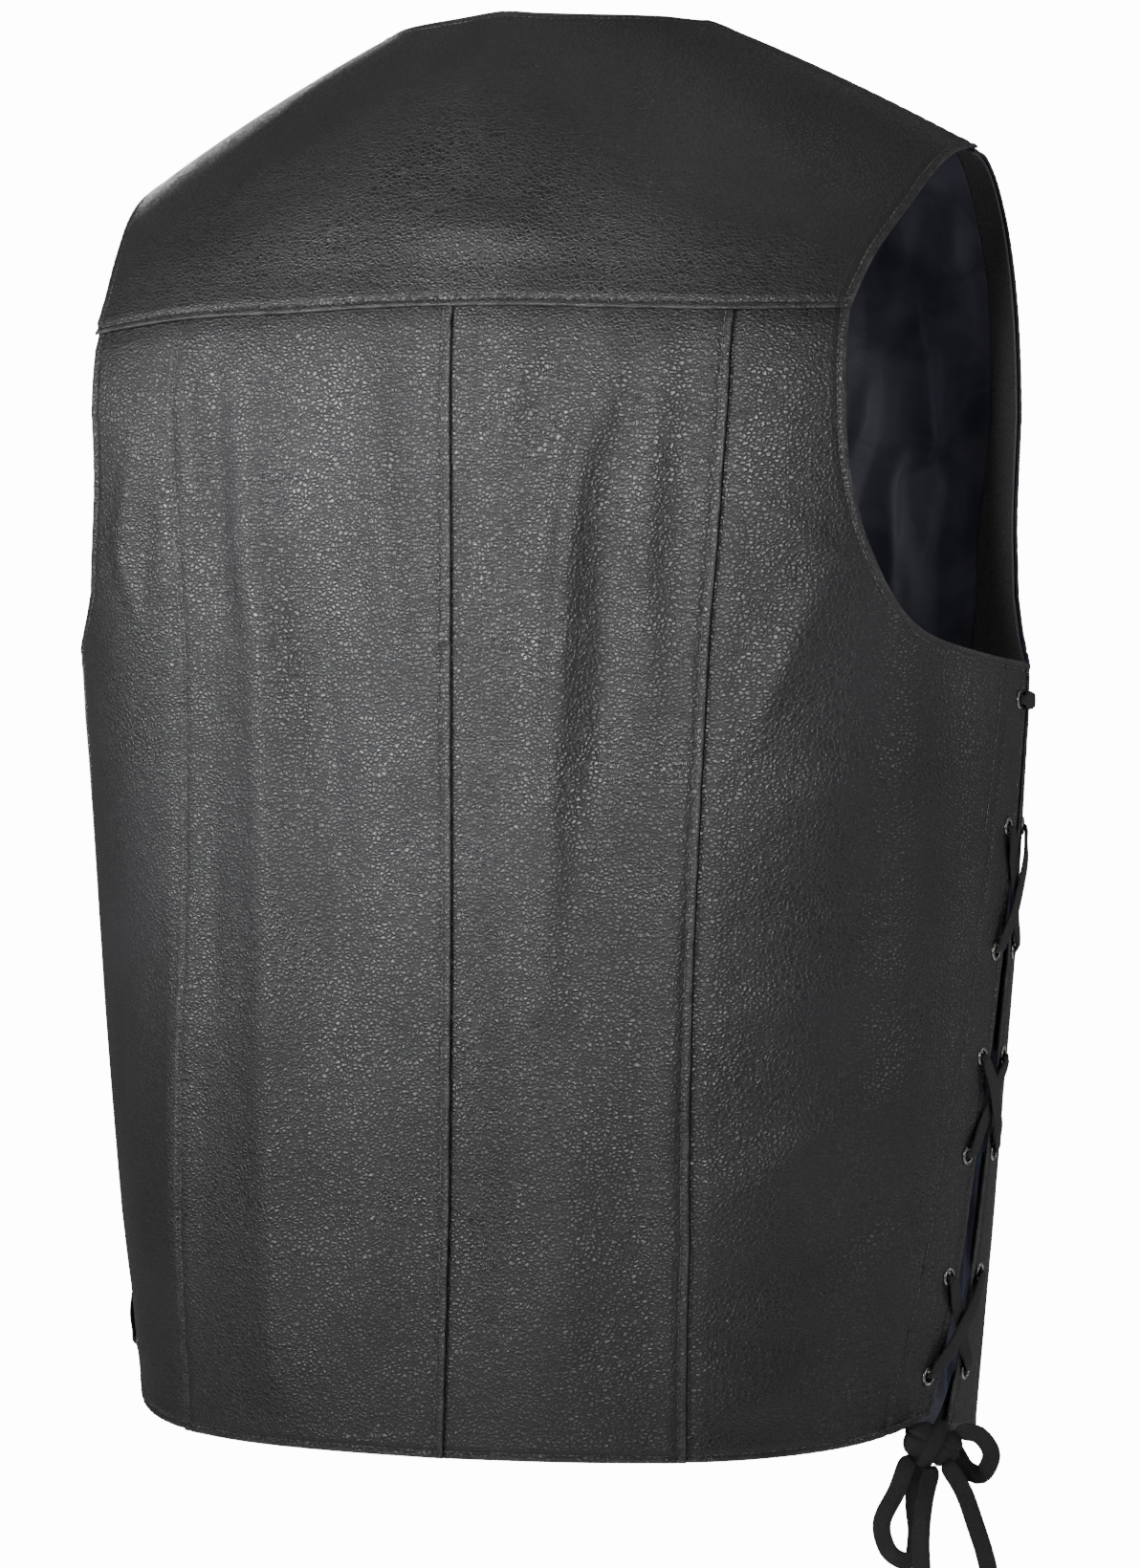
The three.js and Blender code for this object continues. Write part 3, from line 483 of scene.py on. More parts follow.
SHOULDER_SEAM = FORM.close + FORM.arch
HALF_SEAM = 0.15
DEGREE = 3.9
ROWS = (-283, -340, -396, -443, -487, -541, -585)
EYELET_INSET = 9.0
# Width in mm of the doubled band beside a laced edge
BAND = 28.0
LACE_WIDTH = 8.4
LACE_THICK = 1.5


# Meshes


def make_object(
    name: str,
    points: Array,
    faces: list[Array],
    materials: list[bpy.types.Material],
    face_slots: Array | None = None,
    attributes: dict[str, Array] | None = None,
    uv: Array | None = None,
) -> bpy.types.Object:
    """Puts arrays into a smooth mesh object at the origin that rides on the part.

    Args:
        name: Name of the piece.
        points: Points in mm, one in each row.
        faces: Arrays of vertex numbers, each with faces of one size.
        materials: Materials of the piece.
        face_slots: Number of each face's material.
        attributes: Values for each vertex, by name.
        uv: Two numbers for each vertex, in metres on the piece.

    Returns:
        The new object.
    """
    mesh = bpy.data.meshes.new(name)
    sizes = np.concatenate([np.full(len(f), f.shape[1]) for f in faces])
    corners = np.concatenate([f.ravel() for f in faces]).astype(np.int32)
    mesh.vertices.add(len(points))
    mesh.vertices.foreach_set("co", (points * MM).astype(np.float32).ravel())
    mesh.loops.add(len(corners))
    mesh.loops.foreach_set("vertex_index", corners)
    mesh.polygons.add(len(sizes))
    mesh.polygons.foreach_set("loop_start", np.concatenate([[0], np.cumsum(sizes)[:-1]]).astype(np.int32))
    if face_slots is not None:
        mesh.polygons.foreach_set("material_index", face_slots.astype(np.int32))
    for key, values in (attributes or {}).items():
        attribute = mesh.attributes.new(key, "FLOAT", "POINT")
        attribute.data.foreach_set("value", values.astype(np.float32))
    if uv is not None:
        layer = mesh.uv_layers.new(name="cloth")
        layer.uv.foreach_set("vector", uv[corners].astype(np.float32).ravel())
    mesh.update(calc_edges=True)
    mesh.validate()
    mesh.shade_smooth()
    for material in materials:
        mesh.materials.append(material)
    piece = added(name, mesh)
    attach(piece, "root")
    return piece


def grid_faces(valid: Array) -> Array:
    """Numbers the valid places of a grid and joins them in quads that face out.

    Args:
        valid: True where the grid has a place.

    Returns:
        The quads.
    """
    number = np.cumsum(valid.ravel()).reshape(valid.shape) - 1
    whole = valid[:-1, :-1] & valid[:-1, 1:] & valid[1:, 1:] & valid[1:, :-1]
    corners = [number[:-1, :-1], number[1:, :-1], number[1:, 1:], number[:-1, 1:]]
    return np.stack([c[whole] for c in corners], axis=1)


def loose_edges(faces: Array) -> Array:
    """Directed edges of quads that no other quad shares."""
    pairs = np.concatenate([np.stack([faces[:, k], faces[:, (k + 1) % 4]], axis=1) for k in range(4)])
    count = int(faces.max()) + 1
    ahead, back = pairs[:, 0] * count + pairs[:, 1], pairs[:, 1] * count + pairs[:, 0]
    return pairs[~np.isin(ahead, back)]


def wall_object(
    name: str,
    places: Array,
    outer: Array,
    inner: Array,
    quads: Array,
    materials: list[bpy.types.Material],
    attributes: dict[str, Array] | None = None,
) -> bpy.types.Object:
    """Closes two faces of a sheet with a strip round their rim, in place of a node.

    Args:
        name: Name of the node.
        places: Angle and height of each point.
        outer: Points of the outer face.
        inner: Points of the inner face.
        quads: Quads of the outer face.
        materials: Material of the outer face, and of the inner one where it differs.
        attributes: Values for each point of both faces, by name.

    Returns:
        The piece.
    """
    count = len(places)
    rim = loose_edges(quads)
    walls = np.stack([rim[:, 1], rim[:, 0], rim[:, 0] + count, rim[:, 1] + count], axis=1)
    faces = np.concatenate([quads, quads[:, ::-1] + count, walls])
    slots = np.zeros(len(faces))
    slots[len(quads) : 2 * len(quads)] = len(materials) - 1
    flat = places * np.array([DEGREE, 1.0]) * MM
    piece = make_object(
        name + "_looks", np.concatenate([outer, inner]), [faces], materials, slots, attributes,
        np.concatenate([flat, flat]),
    )
    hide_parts(name)
    return piece


@dataclass
class Border:
    """One edge of a panel: how it is turned under, lapped and stitched."""

    line: Edge
    lap: float = 0.0
    lap_width: float = 10.0
    stitches: tuple[float, ...] = (3.6,)
    under: bool = False

    def spots(self) -> Array:
        """Points of the body along the edge, about 1.5 mm apart."""
        at = self.line.at(np.linspace(0, 1, max(40, int(self.line.length / 1.5))))
        return FORM.point(*at.T)


def gap_to(points: Array, spots: Array) -> Array:
    """Shortest distance from each point to a dense row of spots.

    Args:
        points: Points, one in each row.
        spots: Spots along a line.

    Returns:
        Distance of each point to the line through the nearest two spots.
    """
    result = np.empty(len(points))
    for start in range(0, len(points), 4000):
        chunk = points[start : start + 4000]
        apart = (chunk**2).sum(1)[:, None] + (spots**2).sum(1)[None] - 2 * chunk @ spots.T
        nearest = np.clip(apart.argmin(1), 1, len(spots) - 2)
        best = np.full(len(chunk), np.inf)
        for shift in (-1, 0):
            a, b = spots[nearest + shift], spots[nearest + shift + 1]
            ab = b - a
            t = np.clip(((chunk - a) * ab).sum(1) / np.maximum((ab**2).sum(1), 1e-9), 0, 1)
            best = np.minimum(best, np.linalg.norm(chunk - a - ab * t[:, None], axis=1))
        result[start : start + 4000] = best
    return result


# How far in mm a piece reaches under the one that laps it, and sinks there
UNDER = 5.0
SINK = 0.85

# How far in mm a lapping edge reaches past its seam, and rises there
LAP = 0.9
LAP_LIFT = 0.8

# How far in mm the left front lies over the right one
FRONT_LAP = 2.05

# Offsets in mm of the grid lines beside an edge, close enough for its rounding
FINE = np.array([0.0, 0.12, 0.38, 0.85, 1.7, 2.7, 3.6, 4.5, 6.2])


@dataclass(frozen=True)
class Knot:
    """A grid line at a share of a row's length and mm beyond it, and the steps before the next."""

    share: float
    mm: float = 0.0
    steps: int = 0
    fine_before: bool = False
    fine_after: bool = False


def spaced(knots: tuple[Knot, ...], length: Array) -> Array:
    """Shares of the grid lines between knots, closer beside an edge.

    Args:
        knots: The knots in order.
        length: Length of each row, in a column.

    Returns:
        Shares of the row's length, a row for each length.
    """
    found = []
    for a, b in zip(knots, knots[1:]):
        lead = FINE if a.fine_after else FINE[:1]
        tail = FINE if b.fine_before else FINE[:1]
        low, high = a.share * length + a.mm, b.share * length + b.mm
        t = np.linspace(0, 1, a.steps + 1)[None, 1:-1]
        start, stop = low + lead[-1], high - tail[-1]
        found += [low + lead[None], start + (stop - start) * t, (high - tail[None, ::-1])[:, :-1]]
        if len(tail) == 1:
            found.pop()
    found.append(knots[-1].share * length + knots[-1].mm)
    return np.concatenate(found, axis=1) / length


def patch(bottom: Edge, top: Edge, left: Edge, right: Edge, u: Array, v: Array) -> Array:
    """Places between four edges.

    The sum of the blend between left and right and the blend between bottom
    and top, less the blend of the four corners.

    Args:
        bottom: Lower edge, walked round the body.
        top: Upper edge, walked the same way.
        left: Edge where u is 0, walked upward.
        right: Edge where u is 1, walked upward.
        u: Shares across, a row for each v.
        v: Shares upward.

    Returns:
        Angle and height of each place.
    """
    across, rise = u[..., None], v[:, None, None]
    sides = left.at(v)[:, None] * (1 - across) + right.at(v)[:, None] * across
    ends = bottom.at(u) * (1 - rise) + top.at(u) * rise
    corner = [e.at(np.array(s)) for e, s in ((bottom, 0.0), (bottom, 1.0), (top, 0.0), (top, 1.0))]
    low = corner[0] * (1 - across) + corner[1] * across
    high = corner[2] * (1 - across) + corner[3] * across
    return sides + ends - low * (1 - rise) - high * rise


def row_lengths(bottom: Edge, top: Edge, left: Edge, right: Edge, v: Array) -> Array:
    """Length of each row of a patch on the body.

    Args:
        bottom: Lower edge.
        top: Upper edge.
        left: Edge where u is 0.
        right: Edge where u is 1.
        v: Shares upward, one for each row.

    Returns:
        The lengths, in a column.
    """
    u = np.tile(np.linspace(0, 1, 31), (len(v), 1))
    places = patch(bottom, top, left, right, u, v)
    points = FORM.point(places[..., 0], places[..., 1])
    return np.linalg.norm(np.diff(points, axis=1), axis=2).sum(1)[:, None]


def evenly(steps: int, from_edge: bool = True) -> tuple[Knot, Knot]:
    """Even steps from one edge to the other, closer beside the last and mostly the first."""
    return Knot(0, steps=steps, fine_after=from_edge), Knot(1, fine_before=True)


def fill_patch(bottom: Edge, top: Edge, left: Edge, right: Edge, columns: tuple, rows: tuple) -> Array:
    """Grid of places between four edges, spaced by knots both ways.

    Args:
        bottom: Lower edge.
        top: Upper edge.
        left: Edge where the columns start.
        right: Edge where the columns end.
        columns: Knots across.
        rows: Knots upward.

    Returns:
        Angle and height of each place.
    """
    tall = np.array([[(left.length + right.length) / 2]])
    v = spaced(rows, tall)[0]
    return patch(bottom, top, left, right, spaced(columns, row_lengths(bottom, top, left, right, v)), v)


def stacked(lower: Array, upper: Array, first: int) -> Array:
    """A grid above another that continues its columns from the first one on.

    Args:
        lower: Grid below.
        upper: Grid above, whose first row is the lower one's last.
        first: Column of the lower grid where the upper one starts.

    Returns:
        One grid, without a number where it has no place.
    """
    rest = np.full((len(upper) - 1, lower.shape[1], 2), np.nan)
    rest[:, first : first + upper.shape[1]] = upper[1:]
    return np.concatenate([lower, rest])


def front_lap(points: Array) -> Array:
    """Lift of the front that laps over the other, near the middle of the vest."""
    return FRONT_LAP * smooth((60 - points[:, 0]) / 34) * (points[:, 1] < 0)


@dataclass
class Panel:
    """A piece of leather: a wall over a grid of places, with its edges finished."""

    name: str
    grid: Array
    borders: list[Border]
    thick: float = 1.6
    base: float = 0.0
    overlap: bool = False
    round: float = 0.85
    holes: list[Array] = field(default_factory=list)
    # Share of the thickness that the rounding takes off each face
    ROUNDED = 0.38
    # Radius, sides and half length in mm of the cylinder that cuts a lace hole
    HOLE = (3.1, 24, 5)

    def gaps(self, points: Array) -> list[Array]:
        """Distance of body points to each border."""
        return [gap_to(points, border.spots()) for border in self.borders]

    def relief(self, angle: Array, height: Array) -> tuple[Array, Array, Array]:
        """Height of the outer face over the folds, and of what rounds its edges.

        A lapped edge rises over its neighbour, and sinks where it passes
        under a third piece itself. The turned edge is a little thicker as far
        as its stitches, which press a furrow into it. The last part of a mm
        falls away as a quarter circle.

        Args:
            angle: Angles of the places.
            height: Heights of the places.

        Returns:
            Lift of the outer face, depth of the rounding, and wear from 0 to 1.
        """
        points = FORM.point(angle, height)
        lift = self.base + (front_lap(points) if self.overlap else np.zeros(len(points)))
        fall = np.zeros(len(points))
        wear = np.zeros(len(points))
        gaps = self.gaps(points)
        for border, gap in zip(self.borders, gaps):
            if border.lap:
                hidden = [g for b, g in zip(self.borders, gaps) if b.under]
                beside = np.min(hidden, axis=0) if hidden else np.full(len(points), 99.0)
                sunk = 0.16 + 0.84 * smooth((beside - UNDER) / 9)
                rise = smooth((UNDER + 2 + border.lap_width - gap) / border.lap_width)
                lift = lift + border.lap * rise * sunk
            if border.under:
                lift = lift - SINK * smooth((UNDER + 8 - gap) / 7)
            for inset in border.stitches[:1]:
                lift = lift + 0.4 * smooth((inset + 5.5 - gap) / 4)
            for inset in border.stitches:
                wave = 0.10 * np.sin(angle * 3.1 + height * 0.83) * np.exp(-((gap - inset) / 7) ** 2)
                lift = lift - 0.75 * np.exp(-(((gap - inset) / 1.1) ** 2)) + wave
            turn = np.clip(1 - gap / self.round, 0, 1)
            fall = np.maximum(fall, 1 - np.sqrt(np.maximum(0, 1 - turn**2)))
            wear = np.maximum(wear, np.exp(-((gap / 1.4) ** 2)))
        return lift, fall, wear

    def surface(self, angle: Array, height: Array, above: float = 0.0) -> Array:
        """Points of the outer face."""
        lift, fall, _ = self.relief(angle, height)
        return FORM.cloth(angle, height, lift - fall * self.thick * self.ROUNDED + above)

    def build(self, outside: bpy.types.Material, inside: bpy.types.Material, slot: Slot) -> bpy.types.Object:
        """Makes the closed wall and puts it in place of its node.

        Args:
            outside: Material of the outer face and the edges.
            inside: Material of the inner face.
            slot: Not used.

        Returns:
            The piece.
        """
        valid = ~np.isnan(self.grid[..., 0])
        places = self.grid[valid]
        lift, fall, wear = self.relief(*places.T)
        rounding = fall * self.thick * self.ROUNDED
        piece = wall_object(
            self.name, places, FORM.cloth(*places.T, lift - rounding),
            FORM.cloth(*places.T, lift - self.thick + rounding), grid_faces(valid), [outside, inside],
            {"wear": np.concatenate([wear, wear * 0])},
        )
        if self.holes:
            self.punch(piece)
        return piece

    def punch(self, piece: bpy.types.Object) -> None:
        """Cuts the lace holes: each is a small cylinder taken away from the wall.

        Args:
            piece: The panel's piece, whose mesh is replaced.
        """
        radius, sides, reach = self.HOLE
        points, faces = [], []
        for i, hole in enumerate(self.holes):
            out = FORM.outward(*hole)
            middle = FORM.cloth(*hole, np.array(-self.thick / 2))
            ring = radius * circle_about(out, sides)
            points += [middle + ring - reach * out, middle + ring + reach * out]
            faces.append(joined_rings(2, sides) + i * 2 * sides)
            k = np.arange(sides) + i * 2 * sides
            for cap in (k[::-1], k + sides):
                faces += [np.stack([np.full(sides - 2, cap[0]), cap[1:-1], cap[2:]], axis=1)]
        cutter = make_object(self.name + "_cutter", np.concatenate(points), faces, [])
        modifier = piece.modifiers.new("lace_holes", "BOOLEAN")
        modifier.operation, modifier.solver, modifier.object = "DIFFERENCE", "MANIFOLD", cutter
        bpy.context.view_layer.update()
        cut = bpy.data.meshes.new_from_object(piece.evaluated_get(bpy.context.evaluated_depsgraph_get()))
        piece.modifiers.clear()
        old = piece.data
        piece.data = cut
        cut.name = old.name
        bpy.data.meshes.remove(old)
        bpy.data.objects.remove(cutter)

    def inward(self, border: Border) -> int:
        """Which side of a border the panel lies on.

        Args:
            border: One of its borders.

        Returns:
            1 where it lies on the left of the border's walk, else -1.
        """
        middle = border.line.at(np.array([0.49, 0.5, 0.51]))
        step = (middle[2] - middle[0]) * np.array([DEGREE, 1.0])
        across = unit(np.array([-step[1], step[0]])) * 6
        places = self.grid[~np.isnan(self.grid[..., 0])]
        apart = (places - middle[1]) * np.array([DEGREE, 1.0])
        left, right = (np.hypot(*(apart - s * across).T).min() for s in (1, -1))
        return 1 if left < right else -1

    def stitch(self, thread: bpy.types.Material) -> bpy.types.Object | None:
        """Sews the panel's stitch lines: each stitch is a small rounded bar on the leather.

        Args:
            thread: Material of the stitches.

        Returns:
            The stitches as one piece, or nothing where it has none.
        """
        seams = Stitching()
        for border in self.borders:
            for inset in border.stitches:
                seams.add(self, border, inset)
        return seams.build(self.name + "_stitches", thread)


@dataclass
class Stitching:
    """Stitches of a panel, gathered into one mesh."""

    pitch: float = 3.3
    long: float = 2.7
    wide: float = 0.3
    above: float = 0.12
    middles: list[Array] = field(default_factory=list)
    alongs: list[Array] = field(default_factory=list)
    outs: list[Array] = field(default_factory=list)
    # Places on an edge without which it is too short to sew
    FEWEST = 8

    def add(self, panel: Panel, border: Border, inset: float) -> None:
        """Places the stitches of one line, an inset away from a border.

        Args:
            panel: Panel that carries them.
            border: Edge that they follow.
            inset: Distance from the edge.
        """
        share = np.linspace(0, 1, max(80, int(border.line.length / 1.2)))
        at = border.line.at(share)
        per = np.linalg.norm(FORM.directions(*at.T)[0], axis=1)
        step = np.gradient(at, axis=0)
        across = unit(np.stack([-step[:, 1], step[:, 0] * per], axis=1)) * panel.inward(border)
        at = at + np.stack([across[:, 0] * inset / per, across[:, 1] * inset], axis=1)
        gaps = panel.gaps(FORM.point(*at.T))
        own = gaps[panel.borders.index(border)]
        others = [g for b, g in zip(panel.borders, gaps) if b is not border]
        keep = own > inset - 0.5
        if others:
            keep &= np.min(others, axis=0) > 1.3
        at = at[keep]
        if len(at) < self.FEWEST:
            return
        points = panel.surface(*at.T, self.above)
        run = walked(points)
        places = np.arange(self.pitch, run[-1] - self.pitch, self.pitch)
        if not len(places):
            return
        self.middles.append(between(places, run, points))
        self.alongs.append(unit(between(places + 1, run, points) - between(places - 1, run, points)))
        self.outs.append(FORM.outward(*between(places, run, at).T))

    def build(self, name: str, thread: bpy.types.Material) -> bpy.types.Object | None:
        """Makes the mesh: rings of points along each stitch, thin at its ends.

        Args:
            name: Name of the piece.
            thread: Its material.

        Returns:
            The piece, or nothing where no stitch was placed.
        """
        if not self.middles:
            return None
        middle, along, out = (np.concatenate(part) for part in (self.middles, self.alongs, self.outs))
        beside = unit(np.cross(out, along))
        places = np.array([-0.5, -0.36, 0.36, 0.5]) * self.long
        width = np.array([0.35, 1.0, 1.0, 0.35]) * self.wide
        sink = np.array([-0.22, 0.0, 0.0, -0.22])
        sides = 5
        turn = circle(sides)
        ring = (
            middle[:, None, None] + along[:, None, None] * places[None, :, None, None]
            + out[:, None, None] * (sink[:, None] + width[:, None] * np.sin(turn))[None, ..., None]
            + beside[:, None, None] * (width[:, None] * np.cos(turn))[None, ..., None] * 1.15
        )
        count = len(places) * sides
        base = np.arange(len(middle))[:, None, None] * count
        caps = np.stack([np.arange(sides)[::-1], np.arange(count - sides, count)])
        faces = [(base + joined_rings(len(places), sides)).reshape(-1, 4), (base + caps).reshape(-1, sides)]
        return make_object(name, ring.reshape(-1, 3), faces, [thread])


# Panels


def placed(grid: Array, side: Side) -> Array:
    """The grid as it lies on a side, still in order round the body."""
    return grid if side is Side.LEFT else (grid * np.array([-1.0, 1.0]))[:, ::-1]


def on_side(line: Edge, side: Side) -> Edge:
    """The edge as it lies on a side, walked from the same end."""
    return line if side is Side.LEFT else line.flipped()


def cut_edge(line: Edge, first: float, last: float) -> Edge:
    """Part of an edge between two shares of its length."""
    return Edge(line.at(np.linspace(first, last, 120)), straight=True)


def shifted(points: tuple, mm: float) -> list[tuple[float, float]]:
    """Points moved round the body by mm."""
    return [(angle + mm / DEGREE, height) for angle, height in points]


def ordered(first: Array | tuple, middle: list | tuple, last: Array | tuple) -> list:
    """Points of an edge with both ends given."""
    return [tuple(first), *middle, tuple(last)]


@dataclass(frozen=True)
class Yoke:
    """Back yoke: one piece from shoulder to shoulder, lapped over the panels below."""

    shoulder_steps: int = 34
    neck_steps: int = 18
    rows: int = 66

    def panel(self) -> Panel:
        """Works out the yoke's grid and borders.

        Returns:
            The panel.
        """
        x = np.linspace(FORM.neck_half, FORM.tip_half, 60)
        angle = FORM.angle_at_x(x, np.full(60, SHOULDER_SEAM), False)
        shoulder = Edge(np.stack([angle, np.full(60, SHOULDER_SEAM - HALF_SEAM)], axis=1), straight=True)
        neck = Edge([*NECKLINE, tuple(shoulder.points[0])])
        half = neck.joined(shoulder)
        seam = {s: Edge([(a, h - LAP) for a, h in YOKE_SEAM[s]]) for s in Side}
        armhole = {
            s: Edge(ordered(seam[s].points[-1], ARMHOLE_YOKE[s][1:], half.points[-1])) for s in Side
        }
        bottom = seam[Side.RIGHT].mirrored().joined(seam[Side.LEFT])
        top = half.mirrored().joined(half)
        at_tip = shoulder.length / half.length / 2
        columns = (
            Knot(0, steps=self.shoulder_steps, fine_after=True), Knot(at_tip, steps=self.neck_steps),
            Knot(0.5, steps=self.neck_steps), Knot(1 - at_tip, steps=self.shoulder_steps),
            Knot(1, fine_before=True),
        )
        left, right = armhole[Side.RIGHT].flipped(), armhole[Side.LEFT]
        borders = [
            Border(bottom, lap=LAP_LIFT, lap_width=14, stitches=(3.4,)),
            Border(left), Border(right),
            Border(neck.mirrored().joined(neck)),
            Border(shoulder, lap=LAP_LIFT, stitches=(2.6,)),
            Border(shoulder.flipped(), lap=LAP_LIFT, stitches=(2.6,)),
        ]
        return Panel("back_yoke", fill_patch(bottom, top, left, right, columns, evenly(self.rows)), borders)


@dataclass(frozen=True)
class Back:
    """Back of one side: a centre panel that laps over the side panel."""

    side: Side
    split: float = 11 / 17
    columns: int = 32
    rows: int = 150
    side_columns: int = 22
    armpit_columns: int = 34
    low_rows: int = 100
    high_rows: int = 42

    def rising(self, mm: float) -> list[tuple[float, float]]:
        """Points of the princess seam from below, without its ends, moved by mm."""
        return shifted(PRINCESS[self.side][1:-1][::-1], mm)

    def centre(self) -> Panel:
        """Works out the centre panel. The left one laps over the right one.

        Returns:
            The panel.
        """
        seam = PRINCESS[self.side]
        laps = self.side is Side.LEFT
        first = (HALF_SEAM - LAP if laps else -UNDER) / DEGREE
        over = LAP - HALF_SEAM
        hem = Edge(HEM_BACK).part(first, seam[-1][0] + over / DEGREE)
        top = Edge(YOKE_SEAM[self.side]).part(first, seam[0][0] + over / DEGREE, UNDER)
        middle = Edge([tuple(hem.points[0]), tuple(top.points[0])], straight=True)
        outer = Edge(ordered(hem.points[-1], self.rising(over), top.points[-1]))
        grid = fill_patch(hem, top, middle, outer, evenly(self.columns), evenly(self.rows))
        borders = [
            Border(on_side(hem, self.side), stitches=(3.2,)),
            Border(on_side(top, self.side), stitches=(), under=True),
            Border(on_side(middle, self.side), LAP_LIFT * laps, stitches=(4.0,) * laps, under=not laps),
            Border(on_side(outer, self.side), lap=LAP_LIFT, stitches=(3.6,)),
        ]
        return Panel(f"back_centre_{self.side.word}", placed(grid, self.side), borders)

    def flank(self, holes: list[Array]) -> Panel:
        """Works out the side panel, from the princess seam to the laced edge.

        Args:
            holes: Places of its lace holes.

        Returns:
            The panel.
        """
        seam = PRINCESS[self.side]
        hem = Edge(HEM_BACK).part(seam[-1][0] - UNDER / DEGREE, HEM_BACK[-1][0])
        top = Edge(YOKE_SEAM[self.side]).part(
            seam[0][0] - UNDER / DEGREE, ARMHOLE_BACK[self.side][0][0], UNDER
        )
        inner = Edge(ordered(hem.points[0], self.rising(-UNDER), top.points[0]))
        shelf = inner.at(np.array(self.split))
        across = Edge([tuple(shelf), ((shelf[0] + 48) / 2, -235), ARMPIT_BACK[0]])
        hollow = Edge(ARMPIT_BACK)
        laced = Edge(SIDE_BACK[::-1])
        rim = Edge(ordered(ARMPIT_BACK[0], ARMHOLE_BACK[self.side][1:][::-1], top.points[-1]))
        shared = across.length / (across.length + hollow.length)
        columns = (
            Knot(0, steps=self.side_columns, fine_after=True),
            Knot(shared, steps=self.armpit_columns, fine_before=True),
            Knot(1, -BAND, steps=8), Knot(1, fine_before=True),
        )
        low_inner, high_inner = cut_edge(inner, 0, self.split), cut_edge(inner, self.split, 1)
        lower = fill_patch(hem, across.joined(hollow), low_inner, laced, columns, evenly(self.low_rows))
        upper = fill_patch(
            across, top, high_inner, rim, evenly(self.side_columns), evenly(self.high_rows, False)
        )
        borders = [
            Border(on_side(hem, self.side), stitches=(3.2,)),
            Border(on_side(top, self.side), stitches=(), under=True),
            Border(on_side(inner, self.side), stitches=(), under=True),
            Border(on_side(rim.reversed().joined(hollow), self.side)),
            Border(on_side(laced, self.side), stitches=(3.6, BAND)),
        ]
        grid = placed(stacked(lower, upper, 0), self.side)
        return Panel(f"back_side_{self.side.word}", grid, borders, holes=holes)


